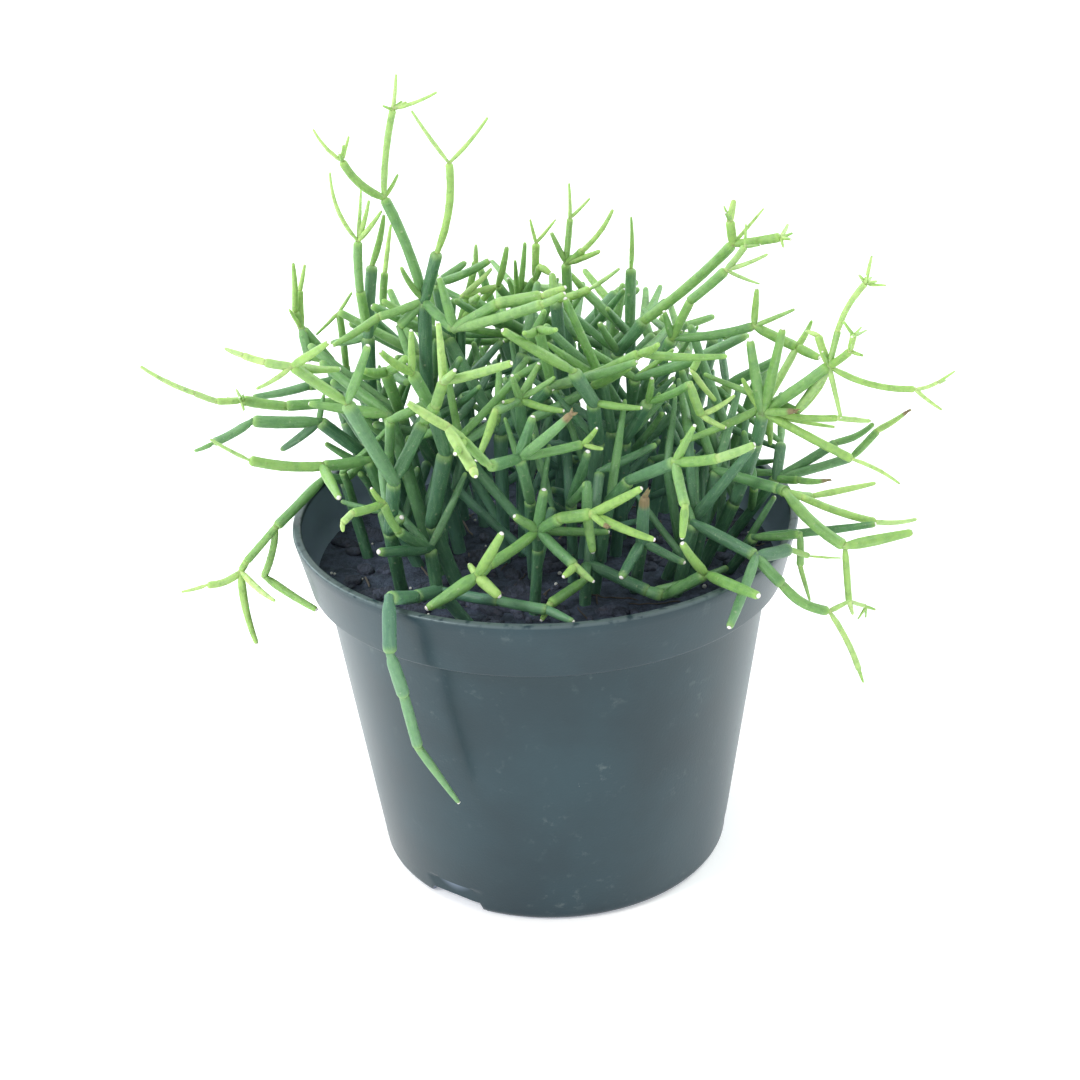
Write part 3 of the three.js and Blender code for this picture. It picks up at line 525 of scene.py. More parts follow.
# fmt: off
# Each shoot that shows in the photograph, nearest first: the [x, y] of its foot on the soil, in mm, and
# its first branch as [column, row, depth, diameter, ...branches from its end], in pixels and mm.
SHOOTS = {
    "hang_front": [[-14, -30], [440, 590, -36, 2.8, [414, 597, -44, 2.8, [389, 598, -52.5, 2.9,
      [390, 654, -56, 2.9, [404, 696, -53, 2.7, [418, 747, -51, 2.3, [459, 803, -48.5, 1.9]]]]]]]],
    "star_front": [[-4, -28], [538, 547, -32, 2.4, [538, 530, -34, 2.6, [514, 516, -38, 2.1],
      [544, 489, -36, 2.5], [561, 518, -38, 2.6, [592, 514, -42, 2.6, [642, 488, -46, 2.1],
      [655, 540, -48, 2.1], [608, 527, -50, 1.5]]], [575, 566, -44, 2.3, [563, 577, -48, 1.8],
      [594, 582, -46, 1.7]], [609, 532, -30, 2.1], [487, 566, -44, 2.3, [477, 576, -46, 2.4,
      [426, 609, -49, 3.1], [502, 533, -50, 2.4], [500, 597, -50, 2.6], [469, 564, -42, 1.7]]]]]],
    "soil_right": [[8, -24], [587, 563, -28, 2.6, [650, 592, -34, 2.7, [664, 596, -35, 2.7,
      [706, 574, -40, 2.6, [682, 543, -46, 2.2], [759, 596, -48, 2.6]]]], [585, 580, -34, 2.2,
      [550, 604, -42, 2.2, [541, 621, -45, 1.6]]]]],
    "hook_left": [[-24, -24], [430, 548, -24, 2.8, [378, 552, -36, 2.8], [398, 531, -32, 2.2,
      [383, 503, -34, 1.8, [371, 488, -36, 1.4], [352, 513, -40, 1.8, [342, 523, -42, 1.5,
      [343, 532, -43, 1.1]]]]]]],
    "left_bright": [[-33, -14], [390, 530, -26, 3.0, [394, 481, -30, 3.0, [347, 403, -36, 3.0,
      [292, 366, -38, 2.2, [264, 362, -38, 1.9, [242, 355, -37, 1.5, [224, 348, -36, 1.3]]],
      [329, 342, -44, 1.9], [256, 389, -42, 1.1]], [368, 345, -40, 2.1]], [423, 423, -26, 2.8,
      [436, 405, -28, 2.6, [443, 382, -30, 2.4, [438, 322, -32, 1.8], [512, 363, -40, 2.1],
      [455, 370, -36, 2.0]]]]], [402, 517, -38, 2.7]]],
    "mid_cross": [[-3, -6], [530, 500, -26, 2.4, [519, 458, -36, 2.4, [571, 414, -44, 2.3],
      [533, 416, -36, 2.5], [490, 466, -48, 2.5, [464, 440, -44, 1.9, [447, 427, -46, 2.0,
      [407, 402, -50, 2.0], [473, 470, -54, 2.3, [476, 477, -56, 1.9]]], [455, 454, -56, 1.8]]],
      [583, 444, -34, 1.9, [597, 428, -38, 1.3], [603, 449, -38, 1.1]]]]],
    "brown_tip": [[20, -14], [642, 541, -34, 2.6, [645, 496, -38, 2.9], [621, 578, -44, 2.5],
      [685, 563, -40, 2.1]]],
    "right_rim": [[28, -20], [694, 523, -26, 2.8, [756, 556, -38, 2.7, [729, 628, -49, 2.3],
      [790, 549, -30, 2.8, [809, 556, -28, 1.3]], [783, 585, -38, 2.4, [829, 611, -38, 2.1,
      [849, 601, -34, 1.2], [859, 670, -36, 1.3]]]]]],
    "mid_upright": [[6, -10], [571, 503, -24, 2.4, [588, 451, -30, 2.5], [588, 484, -34, 2.0,
      [587, 516, -36, 2.2, [593, 553, -38, 2.2]]]]],
    "right_mid": [[10, -18], [610, 500, -30, 2.6, [630, 480, -34, 2.6, [675, 462, -44, 2.5,
      [695, 425, -46, 1.9], [719, 458, -50, 2.1, [755, 444, -52, 2.0]], [685, 506, -54, 2.1,
      [682, 539, -56, 1.9]]]]]],
    "right_slant": [[26, -10], [694, 518, -30, 2.8, [754, 446, -36, 2.7]]],
    "inner_cross": [[-18, -14], [432, 523, -18, 3.4, [445, 452, -20, 3.4, [432, 408, -22, 2.8,
      [412, 373, -24, 2.7, [411, 330, -26, 1.7], [380, 351, -32, 1.9]]]]]],
    "right_v": [[34, -6], [735, 500, -12, 3.0, [757, 440, -18, 3.0, [763, 412, -20, 2.8,
      [750, 340, -22, 2.4], [783, 328, -24, 2.4], [795, 411, -26, 1.9], [838, 418, -24, 1.5,
      [871, 421, -24, 1.3]], [835, 427, -18, 1.3], [852, 459, -28, 1.9, [900, 484, -28, 1.0]],
      [829, 366, -22, 2.4, [838, 330, -22, 1.4, [866, 283, -22, 1.3, [872, 255, -22, 0.9],
      [878, 281, -24, 0.9]]], [850, 351, -26, 1.7, [854, 335, -26, 1.4]], [819, 334, -18, 1.5],
      [915, 389, -24, 1.4, [938, 382, -24, 0.9], [942, 410, -24, 0.9]], [841, 418, -28, 1.2],
      [795, 415, -16, 1.6]]]]]],
    "right_low": [[32, -16], [716, 470, -14, 2.4, [780, 489, -22, 2.4, [786, 492, -24, 2.5,
      [845, 546, -32, 2.5, [913, 532, -32, 2.5], [849, 601, -32, 1.5, [853, 615, -32, 1.2],
      [866, 606, -30, 0.9]]], [802, 497, -24, 1.9, [876, 522, -24, 1.7, [917, 519, -24, 1.2]]],
      [812, 496, -20, 1.6, [876, 483, -18, 1.6]]]]]],
    "right_fan": [[38, 4], [776, 478, -6, 2.4, [852, 457, -8, 2.1, [878, 430, -8, 1.7,
      [908, 411, -8, 1.5]]], [837, 442, -4, 2.1, [874, 423, -4, 1.7]], [799, 480, -10, 1.8,
      [828, 480, -12, 1.6]], [781, 442, 0, 2.5]]],
    "right_reach": [[40, -4], [754, 537, -22, 2.4, [876, 524, -30, 2.1], [800, 534, -28, 1.8,
      [800, 566, -32, 1.6, [810, 601, -34, 1.1]]]]],
    "left_low": [[-28, -2], [385, 500, -4, 2.8, [368, 460, -8, 2.4, [322, 466, -12, 2.5,
      [249, 460, -16, 2.3, [210, 439, -18, 1.0]], [339, 498, -30, 2.5]]]]],
    "trail_left": [[-42, 4], [345, 480, 5, 2.6, [325, 477, 2, 2.4, [276, 527, 0, 2.3, [246, 562, -2, 1.8,
      [241, 571, -2, 1.7, [207, 585, -4, 1.7, [181, 592, -5, 1.0]], [257, 644, -8, 2.0],
      [275, 601, -14, 1.6]]], [264, 576, 4, 1.7, [317, 610, -8, 2.0]]]]]],
    "left_dark": [[-36, 12], [372, 470, 5, 3.0, [359, 450, 3, 3.0, [319, 421, 0, 3.0, [252, 421, -3, 2.8,
      [213, 443, -4, 2.0, [194, 451, -5, 1.2]]], [281, 450, 4, 2.2], [324, 394, 2, 1.5]]]]],
    "tall_fork": [[-20, 5], [428, 420, 4, 3.2, [424, 300, 0, 3.0, [437, 252, -3, 2.6, [449, 163, -6, 1.7,
      [411, 110, -10, 1.0], [488, 117, -4, 1.0]]], [384, 198, 4, 2.3, [393, 109, 6, 1.5, [396, 74, 8, 0.9],
      [437, 92, 2, 0.9]], [342, 161, 0, 1.8, [313, 129, -3, 0.9], [349, 136, 3, 0.9]], [398, 174, 8, 1.0]],
      [401, 267, -5, 1.5], [454, 329, -9, 2.2, [499, 303, -12, 2.6, [542, 296, -14, 2.6,
      [566, 287, -15, 1.9]]], [543, 304, -20, 2.3, [565, 293, -22, 1.7]]]]]],
    "long_diag": [[8, 2], [598, 440, -14, 3.0, [593, 402, -20, 3.0, [573, 371, -24, 3.0,
      [502, 330, -30, 2.3]], [642, 408, -24, 1.8]]]],
    "right_pair": [[16, 2], [625, 440, -10, 2.8, [648, 402, -16, 2.6, [652, 378, -20, 1.7],
      [690, 384, -24, 1.7, [701, 415, -22, 1.9, [726, 428, -24, 1.4], [735, 395, -20, 1.3]]]]]],
    "right_club": [[18, 10], [628, 420, 2, 2.8, [635, 378, -6, 2.6, [699, 358, -14, 2.4,
      [692, 371, -16, 1.6, [716, 401, -18, 1.4]]], [674, 349, -10, 1.4]]]],
    "mid_small": [[-6, 4], [524, 440, -14, 2.6, [520, 399, -20, 2.3, [512, 375, -24, 1.7],
      [503, 402, -26, 1.5], [539, 363, -18, 1.9], [555, 377, -22, 1.4], [564, 411, -26, 1.7],
      [495, 411, -28, 2.0, [476, 461, -34, 1.9]]]]],
    "centre_bow": [[12, -4], [612, 430, -6, 2.6, [602, 380, -10, 2.3, [565, 298, -14, 2.1],
      [593, 386, -12, 2.3, [631, 366, -18, 2.3]]]]],
    "right_second": [[24, 6], [640, 400, 4, 2.8, [672, 338, -2, 2.6, [691, 300, -4, 2.0, [726, 270, -6, 2.2,
      [745, 246, -6, 1.5], [768, 254, -8, 1.1], [760, 284, -4, 0.9]]], [664, 311, -4, 1.8],
      [754, 326, -6, 2.0, [757, 288, -6, 1.7], [795, 309, -8, 1.2], [797, 347, -8, 2.2]]]]],
    "right_long": [[14, 12], [606, 420, 10, 3.0, [618, 352, 6, 3.0, [645, 320, 4, 2.8, [733, 244, 0, 2.3,
      [730, 220, 0, 2.0, [734, 199, 0, 1.7]], [781, 237, -4, 2.0, [788, 224, 2, 1.0]],
      [764, 208, 4, 0.9]]]]]],
    "centre_post": [[2, 14], [566, 420, 14, 3.0, [562, 361, 12, 2.9, [556, 300, 10, 2.9, [590, 289, 8, 1.9,
      [620, 268, 6, 1.1]], [552, 273, 14, 2.2]]]]],
    "left_pair": [[-28, 14], [372, 420, 12, 3.0, [368, 335, 10, 3.0, [360, 290, 8, 2.2, [358, 241, 8, 2.0,
      [330, 172, 5, 1.1], [361, 188, 12, 1.0], [369, 200, 9, 1.2], [382, 210, 6, 1.3]]], [372, 265, 12, 2.6,
      [384, 214, 14, 1.7]], [383, 305, 16, 2.0, [385, 272, 16, 1.8, [391, 224, 18, 1.2]]],
      [331, 343, 14, 2.4]]]],
    "far_left": [[-34, 22], [365, 440, 18, 2.8, [340, 402, 14, 2.6, [285, 406, 12, 2.5, [242, 400, 10, 2.4,
      [216, 401, 9, 1.7, [194, 393, 8, 1.5, [140, 366, 6, 1.3]]], [236, 389, 12, 0.9],
      [244, 411, 8, 0.9]]]]]],
    "back_left": [[-14, 18], [462, 390, 22, 3.0, [437, 283, 18, 2.8, [490, 260, 14, 2.1],
      [466, 262, 22, 2.1]], [461, 318, 20, 2.2, [476, 261, 22, 1.6, [476, 244, 22, 1.3]],
      [494, 287, 16, 1.5, [462, 296, 12, 1.7]]]]],
    "crown": [[6, 24], [575, 400, 24, 2.8, [568, 310, 24, 2.4, [566, 263, 22, 2.3, [570, 218, 20, 1.5,
      [569, 183, 18, 0.9], [590, 198, 20, 0.9]], [583, 250, 18, 1.8, [613, 209, 16, 1.3]],
      [600, 251, 14, 1.6], [551, 232, 20, 1.4]]], [548, 340, 30, 2.6, [543, 302, 32, 2.2]]]],
    "crown_left": [[-6, 28], [520, 380, 28, 2.8, [518, 305, 28, 2.6, [535, 279, 26, 2.0, [536, 243, 26, 1.8,
      [530, 219, 26, 0.9], [556, 219, 24, 0.9]], [540, 266, 24, 1.6, [551, 274, 22, 1.9]]],
      [525, 242, 30, 1.6], [515, 260, 24, 1.5], [498, 285, 22, 2.0, [507, 246, 20, 1.7]],
      [508, 278, 28, 1.8]], [503, 335, 32, 2.8]]],
    "lone_up": [[18, 26], [632, 410, 24, 2.8, [630, 334, 20, 2.5, [631, 268, 20, 2.5, [631, 216, 20, 1.2]],
      [586, 292, 26, 2.2, [570, 273, 27, 1.8]]]]],
    "left_up": [[-38, 24], [345, 420, 26, 2.8, [330, 360, 25, 2.6, [302, 329, 24, 2.4, [295, 311, 24, 1.8,
      [293, 262, 23, 1.6]], [300, 290, 26, 1.5, [305, 264, 26, 1.2]], [289, 309, 22, 1.1]],
      [306, 357, 26, 1.8]]]],
    "left_thin": [[-26, 32], [350, 420, 30, 2.4, [346, 365, 29, 2.0, [339, 312, 28, 1.7,
      [352, 292, 28, 0.9], [316, 335, 27, 0.9]]]]],
    "far_left_low": [[-34, 30], [375, 425, 26, 2.6, [355, 375, 24, 2.6, [307, 386, 22, 2.4,
      [252, 397, 20, 2.2]]]]],
}
# fmt: on

FILL_SHOOTS = 20
SEED = 58
LEVELS = 4
TRIES = 12
SPIRAL_TURN = 137.5
FOOT_SPACE = 6.5
state = SEED


def drawn(low, high):
    """The next number of a seeded row, between two limits."""
    global state
    state = (state * 1664525 + 1013904223) % 4294967296
    return low + (high - low) * state / 4294967296


def unit(vector):
    return vector / np.linalg.norm(vector)


BUSH_REACH = (60, 62)
BUSH_MIDDLE = 20
BUSH_TOP, BUSH_TOP_X = 144, -10
BUSH_FALL, BUSH_CURVE = 0.22, 0.004


def within_bush(point):
    """Whether a point is in the bush, which is domed, and highest a little left of the middle."""
    x, y, z = point
    top = BUSH_TOP - BUSH_FALL * y - BUSH_CURVE * (x - BUSH_TOP_X) ** 2
    return (x / BUSH_REACH[0]) ** 2 + ((y - BUSH_MIDDLE) / BUSH_REACH[1]) ** 2 < 1 and z < top


def turned_from(along, angle):
    """A direction turned away from another by an angle in degrees, at a drawn place round it."""
    side = unit(np.cross([drawn(-1, 1), drawn(-1, 1), drawn(-1, 1)], along))
    return along * math.cos(math.radians(angle)) + side * math.sin(math.radians(angle))


def grow(shoot, start, along, level, parent=None):
    """Grows a segment, and from its end a whorl of shorter and thinner ones."""
    radius = (3.2 - 0.4 * level) / 2
    length = drawn(38, 52) if level == 0 else drawn(15, 28)
    for _ in range(TRIES):
        bent = turned_from(along, drawn(0, 12) if level == 0 else drawn(20, 50))
        end = start + bent * length
        if within_bush(end) and clear(shoot, start, end, radius, level == 0):
            here = Segment(shoot, start, end, radius, parent)
            outward = np.array([end[0] / 60, (end[1] - 10) / 60, 0.25])
            onward = unit(bent * 0.7 + outward * 0.6)
            whorl = int(drawn(1.6, 3.4) + 0.5) if level + 1 < LEVELS else 0
            for _ in range(whorl):
                grow(shoot, end, onward, level + 1, here)
            return


def fill_feet():
    feet = [segment.start for segment in placed if segment.parent is None]
    free = []
    for i in range(90):
        reach, angle = 5 * math.sqrt(i + 0.5), math.radians(i * SPIRAL_TURN)
        foot = np.array([reach * math.cos(angle), reach * math.sin(angle), SOIL_TOP - FOOT_DEPTH])
        roomy = all(math.hypot(*(foot - other)[:2]) > FOOT_SPACE for other in feet)
        if len(free) < FILL_SHOOTS and roomy and foot[1] > -8 and reach < 44:
            feet.append(foot)
            free.append(foot)
    return free


for shoot_name, ((foot_x, foot_y), first_branch) in SHOOTS.items():
    follow("shoot_" + shoot_name, np.array([foot_x, foot_y, SOIL_TOP - FOOT_DEPTH]), first_branch)
for count, foot in enumerate(fill_feet()):
    grow(f"shoot_grown_{count + 1}", foot, unit(np.array([foot[0] / 110, foot[1] / 90, 1])), 0)

# More branches that show at the back and at the sides, by the joint that each grows from, read as above.
# fmt: off
MORE = {
    (424, 300): [[378, 317, 6, 1.9, [332, 346, 2, 1.9]], [399, 327, 10, 2.2]],
    (454, 329): [[439, 277, -4, 2.3]],
    (462, 296): [[492, 268, 14, 1.5]],
    (797, 347): [[820, 358, -14, 2.2], [768, 398, -10, 1.8], [812, 320, -4, 1.6]],
    (829, 366): [[786, 396, -18, 2.2], [798, 410, -20, 2.0], [818, 335, -20, 1.7, [806, 331, -18, 1.2]]],
    (763, 412): [[742, 378, -18, 1.6]],
    (302, 329): [[309, 362, 20, 2.3]],
    (292, 366): [[340, 369, -30, 2.0]],
    (809, 556): [[841, 558, -28, 0.6]],
}
# fmt: on

# Inside the bush, small side segments also grow from the joints, and from a joint part of the way up
# each long first segment, which is two segments in truth. Each of them may bear one more.
DOME = (np.array([4, 14, 75]), np.array([66, 58, 64]))
LONG = 26


def openness(points):
    """How far out of the bush points are, from 0 at its heart to 1 on the dome that it fills."""
    return np.linalg.norm((np.asarray(points) - DOME[0]) / DOME[1], axis=-1)


def sprout(shoot, start, along, parent, count):
    """Grows short side segments from a joint, well turned away from the segment that bears them."""
    for _ in range(count):
        radius, length = drawn(0.85, 1.25), drawn(12, 26)
        for _ in range(TRIES):
            end = start + turned_from(along, drawn(25, 70)) * length
            inside = openness(end) < 1 and end[1] > -18
            if inside and clear(shoot, start, end, radius):
                Segment(shoot, start, end, radius, parent)
                break


framed = len(placed)
for joint, branches in MORE.items():
    bearer = next(segment for segment in placed if segment.read_at == joint)
    for branch in branches:
        follow(bearer.shoot, bearer.end, branch, 0, bearer)
for segment in placed[:framed]:
    heading = unit(segment.end - segment.start)
    if segment.order == 0 and np.linalg.norm(segment.end - segment.start) > LONG:
        for share in (drawn(0.36, 0.48), drawn(0.6, 0.75)):
            middle = segment.start + share * (segment.end - segment.start)
            if middle[2] > SOIL_TOP + 6:
                sprout(segment.shoot, middle, heading, segment, 1)
    if segment.radius > 1.1 and len(segment.bears) < 4:
        sprout(segment.shoot, segment.end, heading, segment, 2)

for segment in placed[framed:]:
    sprout(segment.shoot, segment.end, unit(segment.end - segment.start), segment, 1)

# Tufts of new growth, as thin as thread, at the ends of the longest shoots.
TUFTS = {
    (342, 161): 4, (393, 109): 3, (866, 283): 4, (850, 351): 4, (854, 335): 4, (829, 366): 3, (781, 237): 3,
    (242, 400): 3, (938, 382): 2, (566, 263): 3, (730, 220): 2, (866, 606): 3, (859, 670): 1, (745, 246): 2,
}
for segment in [segment for segment in placed if segment.read_at in TUFTS]:
    heading = unit(segment.end - segment.start)
    for _ in range(TUFTS[segment.read_at]):
        point = segment.end + turned_from(heading, drawn(15, 85)) * drawn(2.2, 5)
        Segment(segment.shoot, segment.end, point, drawn(0.35, 0.5), segment)

# An old stem of the hanging shoot lies along the front of the rim.
OLD_STEM = [500, 601, -43, 2.4, [548, 610, -46, 2.3, [574, 622, -50, 2.0]]]
hanging = next(segment for segment in placed if segment.shoot == "shoot_hang_front")
follow(hanging.shoot, hanging.end, OLD_STEM, 0, hanging)


# The soil
# Dark, damp potting soil of peat and composted bark, pressed in up to a finger's width under the rim.
# Flakes of bark, thread-like roots and a few grains of grit lie on it.
# The soil's lumps: their height, their size, and a seed.
LUMPS = ((0.9, 11, 1), (0.6, 4.5, 2), (0.35, 2, 3), (0.2, 1, 4))


def rough(x, y, size, seed):
    """Lumps about size mm across, from -1 to 1, at a place on the soil."""
    return noise.noise(Vector((x / size, y / size, seed * 7.3)))


def soil_height(x, y):
    """The height of the soil at a place, where lumps of several sizes lie on one another."""
    lumps = 0
    for height, size, seed in LUMPS:
        lumps += height * rough(x, y, size, seed)
    return SOIL_TOP - 0.2 + min(max(lumps, -1.3), 1.5)


SOIL_COLUMNS = 216
soil_edge = float(collar_inner(SOIL_TOP)) - FIT
soil_rings = np.concatenate([np.linspace(soil_edge - 0.6, 8, 66), np.linspace(7, 0.7, 9)])
soil_foot = (WALL_FOOT_RADIUS - WALL - 1 - FIT, WALL + FIT)
soil_wall_foot = (WALL_FOOT_RADIUS - WALL - FIT, WALL + 1 + FIT)
soil_wall_top = (WALL_TOP_RADIUS - WALL - FIT, COLLAR_FOOT - 1.8)
soil_profile = [
    (0, WALL + FIT),
    *span((0, WALL + FIT), soil_foot, 12),
    soil_foot,
    soil_wall_foot,
    *span(soil_wall_foot, soil_wall_top, 4),
    soil_wall_top,
    (soil_edge - 0.3, COLLAR_FOOT + 0.4),
    (soil_edge, SOIL_TOP - 0.6),
    *[(radius, SOIL_TOP) for radius in soil_rings],
    (0, SOIL_TOP),
]
soil_points, soil_faces = turned_body(soil_profile, SOIL_COLUMNS)
for point in soil_points:
    if point[2] >= SOIL_TOP:
        rise = soil_height(point[0], point[1]) - SOIL_TOP
        point[2] += rise * min((soil_edge - math.hypot(point[0], point[1])) / 2.5, 1)
for angle in RECESS_ANGLES:
    depth, _, _ = raised(soil_points, angle, 2)
    foot = soil_points[:, 2] < RECESS_HEIGHT + WALL
    soil_points[:, 2] = np.where(foot & (depth > 0), RECESS_HEIGHT + WALL + FIT, soil_points[:, 2])

peat = Finish("peat", roughness=0.9, specular_ior_level=0.3)
clumps = peat.noise(2.4, 6, 0.65)
crumbs = peat.noise(0.55, 4, 0.7)
damp = peat.noise(16, 2)
earth = peat.mix(clumps.over(0.35, 0.62), "#323a48", "#495366")
earth = peat.mix(crumbs.over(0.56, 0.7) * 0.5, earth, "#555c69")
peat.surface(base_color=earth, roughness=0.95 - 0.3 * damp * clumps)
peat.bump(clumps + crumbs * 0.5, 0.9)
soil = shown("soil_bed", mesh_of("soil_bed", soil_points, soil_faces, 70), peat.material)
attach(soil, "root")
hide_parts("soil")


def off_stems(x, y, room):
    """Whether a place on the soil is further than room from the middle of every stem there."""
    low = np.array([x, y, SOIL_TOP])
    high = np.array([x, y, SOIL_TOP + LUMP])
    radii = np.array([segment.radius for segment in placed])
    return bool(np.all(gaps(low, high, placed) > radii + room))


def flake(x, y, length, width, thickness, yaw, tilt):
    """A chip of bark: a flat, broken slab with an uneven outline, half sunk in the soil."""
    corners = 9
    outline = []
    for k in range(corners):
        turn = math.tau * k / corners + drawn(-0.2, 0.2)
        reach = drawn(0.78, 1.08)
        square = 1 / max(abs(math.cos(turn)), abs(math.sin(turn))) ** 0.6
        out, aside = math.cos(turn) * square * reach, math.sin(turn) * square * reach
        outline.append((out * length / 2, aside * width / 2))
    layers = ((-0.5, 0.8), (-0.15, 1.0), (0.2, 0.97), (0.42, 0.84), (0.5, 0.62))
    points = [(a * share, b * share, level * thickness) for level, share in layers for a, b in outline]
    points += [(0, 0, -0.5 * thickness), (0, 0, 0.5 * thickness + drawn(-0.15, 0.2))]
    points = np.array(points)
    points[:, 2] += tilt * points[:, 0] + 0.12 * np.array([rough(a, b, 1.6, x + y) for a, b, _ in points])
    turned = np.array([[math.cos(yaw), -math.sin(yaw)], [math.sin(yaw), math.cos(yaw)]])
    points[:, :2] = points[:, :2] @ turned.T
    points += (x, y, soil_height(x, y) - 0.05)
    points[:, 2] = np.minimum(points[:, 2], SOIL_TOP + LUMP)
    return points, ring_faces(corners, len(layers), 0, len(points) - 2, len(points) - 1)


class Heap:
    """Many small closed forms gathered into one mesh, with the marks of each of their points."""

    def __init__(self):
        self.points, self.faces, self.marks, self.count = [], [], {}, 0

    def put(self, points, faces, **marks):
        self.points.append(points)
        self.faces += [tuple(self.count + corner for corner in face) for face in faces]
        for mark, values in marks.items():
            values = np.asarray(values, dtype=float)
            spread = np.full(len(points), values) if values.ndim == 0 else values
            self.marks.setdefault(mark, []).append(spread)
        self.count += len(points)

    def mesh(self, name, sharp=40):
        marks = {mark: np.concatenate(values) for mark, values in self.marks.items()}
        return mesh_of(name, np.vstack(self.points), self.faces, sharp, marks)


flakes = Heap()
for _ in range(520):
    length = drawn(2.5, 9)
    place = drawn(0, 360)
    reach = 54 * math.sqrt(drawn(0, 1))
    x, y = reach * math.cos(math.radians(place)), reach * math.sin(math.radians(place))
    width, thickness = length * drawn(0.4, 0.8), drawn(0.8, 2.2)
    yaw, tilt, tone = drawn(0, math.pi), drawn(-0.22, 0.22), drawn(0, 1)
    if reach + length / 2 < soil_edge - 0.8 and off_stems(x, y, length * 0.4 + 0.3):
        points, faces = flake(x, y, length, width, thickness, yaw, tilt)
        flakes.put(points, faces, tone=tone)

bark = Finish("bark", roughness=0.85, specular_ior_level=0.35)
tone = bark.mark("tone")
fibres = bark.noise(0.8, 5, 0.6, at=bark.stretched((1.0, 0.3, 2.5)))
patches = bark.noise(2.6, 3)
flake_colour = bark.mix(tone, "#363c4b", "#51576a")
flake_colour = bark.mix(fibres.over(0.42, 0.62) * 0.7, flake_colour, "#232731")
flake_colour = bark.mix(patches.over(0.58, 0.72) * 0.4, flake_colour, "#5a5763")
bark.surface(base_color=flake_colour, roughness=0.75 + 0.2 * patches)
bark.bump(fibres + 0.4 * patches, 0.5)
bark_flakes = shown("bark_flakes", flakes.mesh("bark_flakes", 50), bark.material)
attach(bark_flakes, "root")


def frames(path):
    """Two directions across each point of a path, which turn as little as they can along it."""
    steps = np.diff(path, axis=0)
    alongs = np.vstack([steps[:1], steps[:-1] + steps[1:], steps[-1:]])
    alongs /= np.linalg.norm(alongs, axis=1)[:, None]
    side = np.array([0.31, 0.17, 0.93])
    sides = []
    for along in alongs:
        side = unit(side - along * (side @ along))
        sides.append(side)
    sides = np.array(sides)
    return sides, np.cross(alongs, sides)


def tube(path, radii, corners):
    """A round stem along a path of points, with a radius at each, closed to a point at both ends."""
    turns = np.linspace(0, math.tau, corners, endpoint=False)
    rings = []
    for middle, radius, side, other in list(zip(path, radii, *frames(path)))[1:-1]:
        ring = np.outer(radius * np.cos(turns), side) + np.outer(radius * np.sin(turns), other)
        rings.append(middle + ring)
    points = np.vstack([path[:1], *rings, path[-1:]])
    return points, ring_faces(corners, len(rings), 1, 0, len(points) - 1)


# The roots and the grit
# Pale thread-like roots and a few grains of sand and white grit lie loose on the soil.
def scattered(limit):
    """A drawn place on the soil, up to a limit from its middle."""
    reach, turn = limit * math.sqrt(drawn(0, 1)), drawn(0, math.tau)
    return reach * math.cos(turn), reach * math.sin(turn)


threads = Heap()
for _ in range(60):
    x, y = scattered(52)
    heading, bend = drawn(0, math.tau), drawn(-0.06, 0.06)
    path = []
    for step in range(int(drawn(7, 15))):
        path.append((x, y, soil_height(x, y) + 0.25))
        heading += bend + drawn(-0.15, 0.15)
        x, y = x + math.cos(heading), y + math.sin(heading)
    if max(math.hypot(a, b) for a, b, _ in path) < soil_edge - 1 and off_stems(x, y, 0.5):
        thick = drawn(0.14, 0.3)
        threads.put(*tube(np.array(path), [thick] * len(path), 5), tone=drawn(0, 1))
for _ in range(80):
    x, y = scattered(54)
    size = drawn(0.22, 0.55)
    if off_stems(x, y, size + 0.1):
        middle = np.array([x, y, min(soil_height(x, y) + 0.6 * size, SOIL_TOP + LUMP - size)])
        lean = unit(np.array([drawn(-1, 1), drawn(-1, 1), drawn(-1, 1)]))
        path = middle + np.outer(np.array([-1, -0.7, 0, 0.6, 1]) * size, lean)
        threads.put(*tube(path, np.array([0, 0.7, 1.0, 0.75, 0]) * size, 7), tone=drawn(1.5, 2))

pale = Finish("roots_and_grit", roughness=0.7)
tone = pale.mark("tone")
stained = pale.noise(1.1, 4)
thread_colour = pale.mix(tone.over(0, 1), "#46403d", "#6f675d")
grit_colour = pale.mix(stained, "#b9b7b0", "#e4e6e3")
thread_or_grit = pale.mix(tone.over(1.2, 1.3), thread_colour, grit_colour)
pale.surface(base_color=thread_or_grit, roughness=0.6 + 0.3 * stained)
pale.bump(stained, 0.2)
grit = shown("roots_and_grit", threads.mesh("roots_and_grit", 60), pale.material)
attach(grit, "root")


# The shoots
# Each segment is a fleshy, nearly even rod with a waxy skin. It starts at a narrow pale neck and ends
# blunt, often in a dot of white wool. Old ones are grey-green, and the youngest yellow-green.
CORNERS = 14
RING_SPACE = 0.75
GROWN_PLUMPNESS = 0.95
# The joints in the picture where young segments, and withered ones, end, and the shoots of old wood.
YOUNG = {(642, 488), (655, 540), (502, 533), (500, 597), (541, 621), (563, 577), (594, 582), (371, 488)}
OLD_SHOOTS = {"shoot_hang_front", "shoot_left_dark", "shoot_right_slant", "shoot_far_left_low"}
BROWN_TIPS = {(571, 414), (645, 496), (795, 411), (908, 411), (828, 480), (608, 527), (795, 415)}
# How many pixels the middle of a clearly bent segment lies to the right of straight, seen along it.
BENT = {
    (393, 109): -4, (449, 163): 3, (342, 161): -4, (384, 198): 3, (866, 283): -4, (915, 389): 6,
    (257, 644): 3, (859, 670): -3, (900, 484): -3, (733, 244): 2, (207, 585): -3, (845, 546): 4,
    (829, 611): 5, (330, 172): -6, (313, 129): -2, (874, 423): 2, (249, 460): -2,
}
AREOLE_TURN = 72
AREOLE_RISE = 1.35


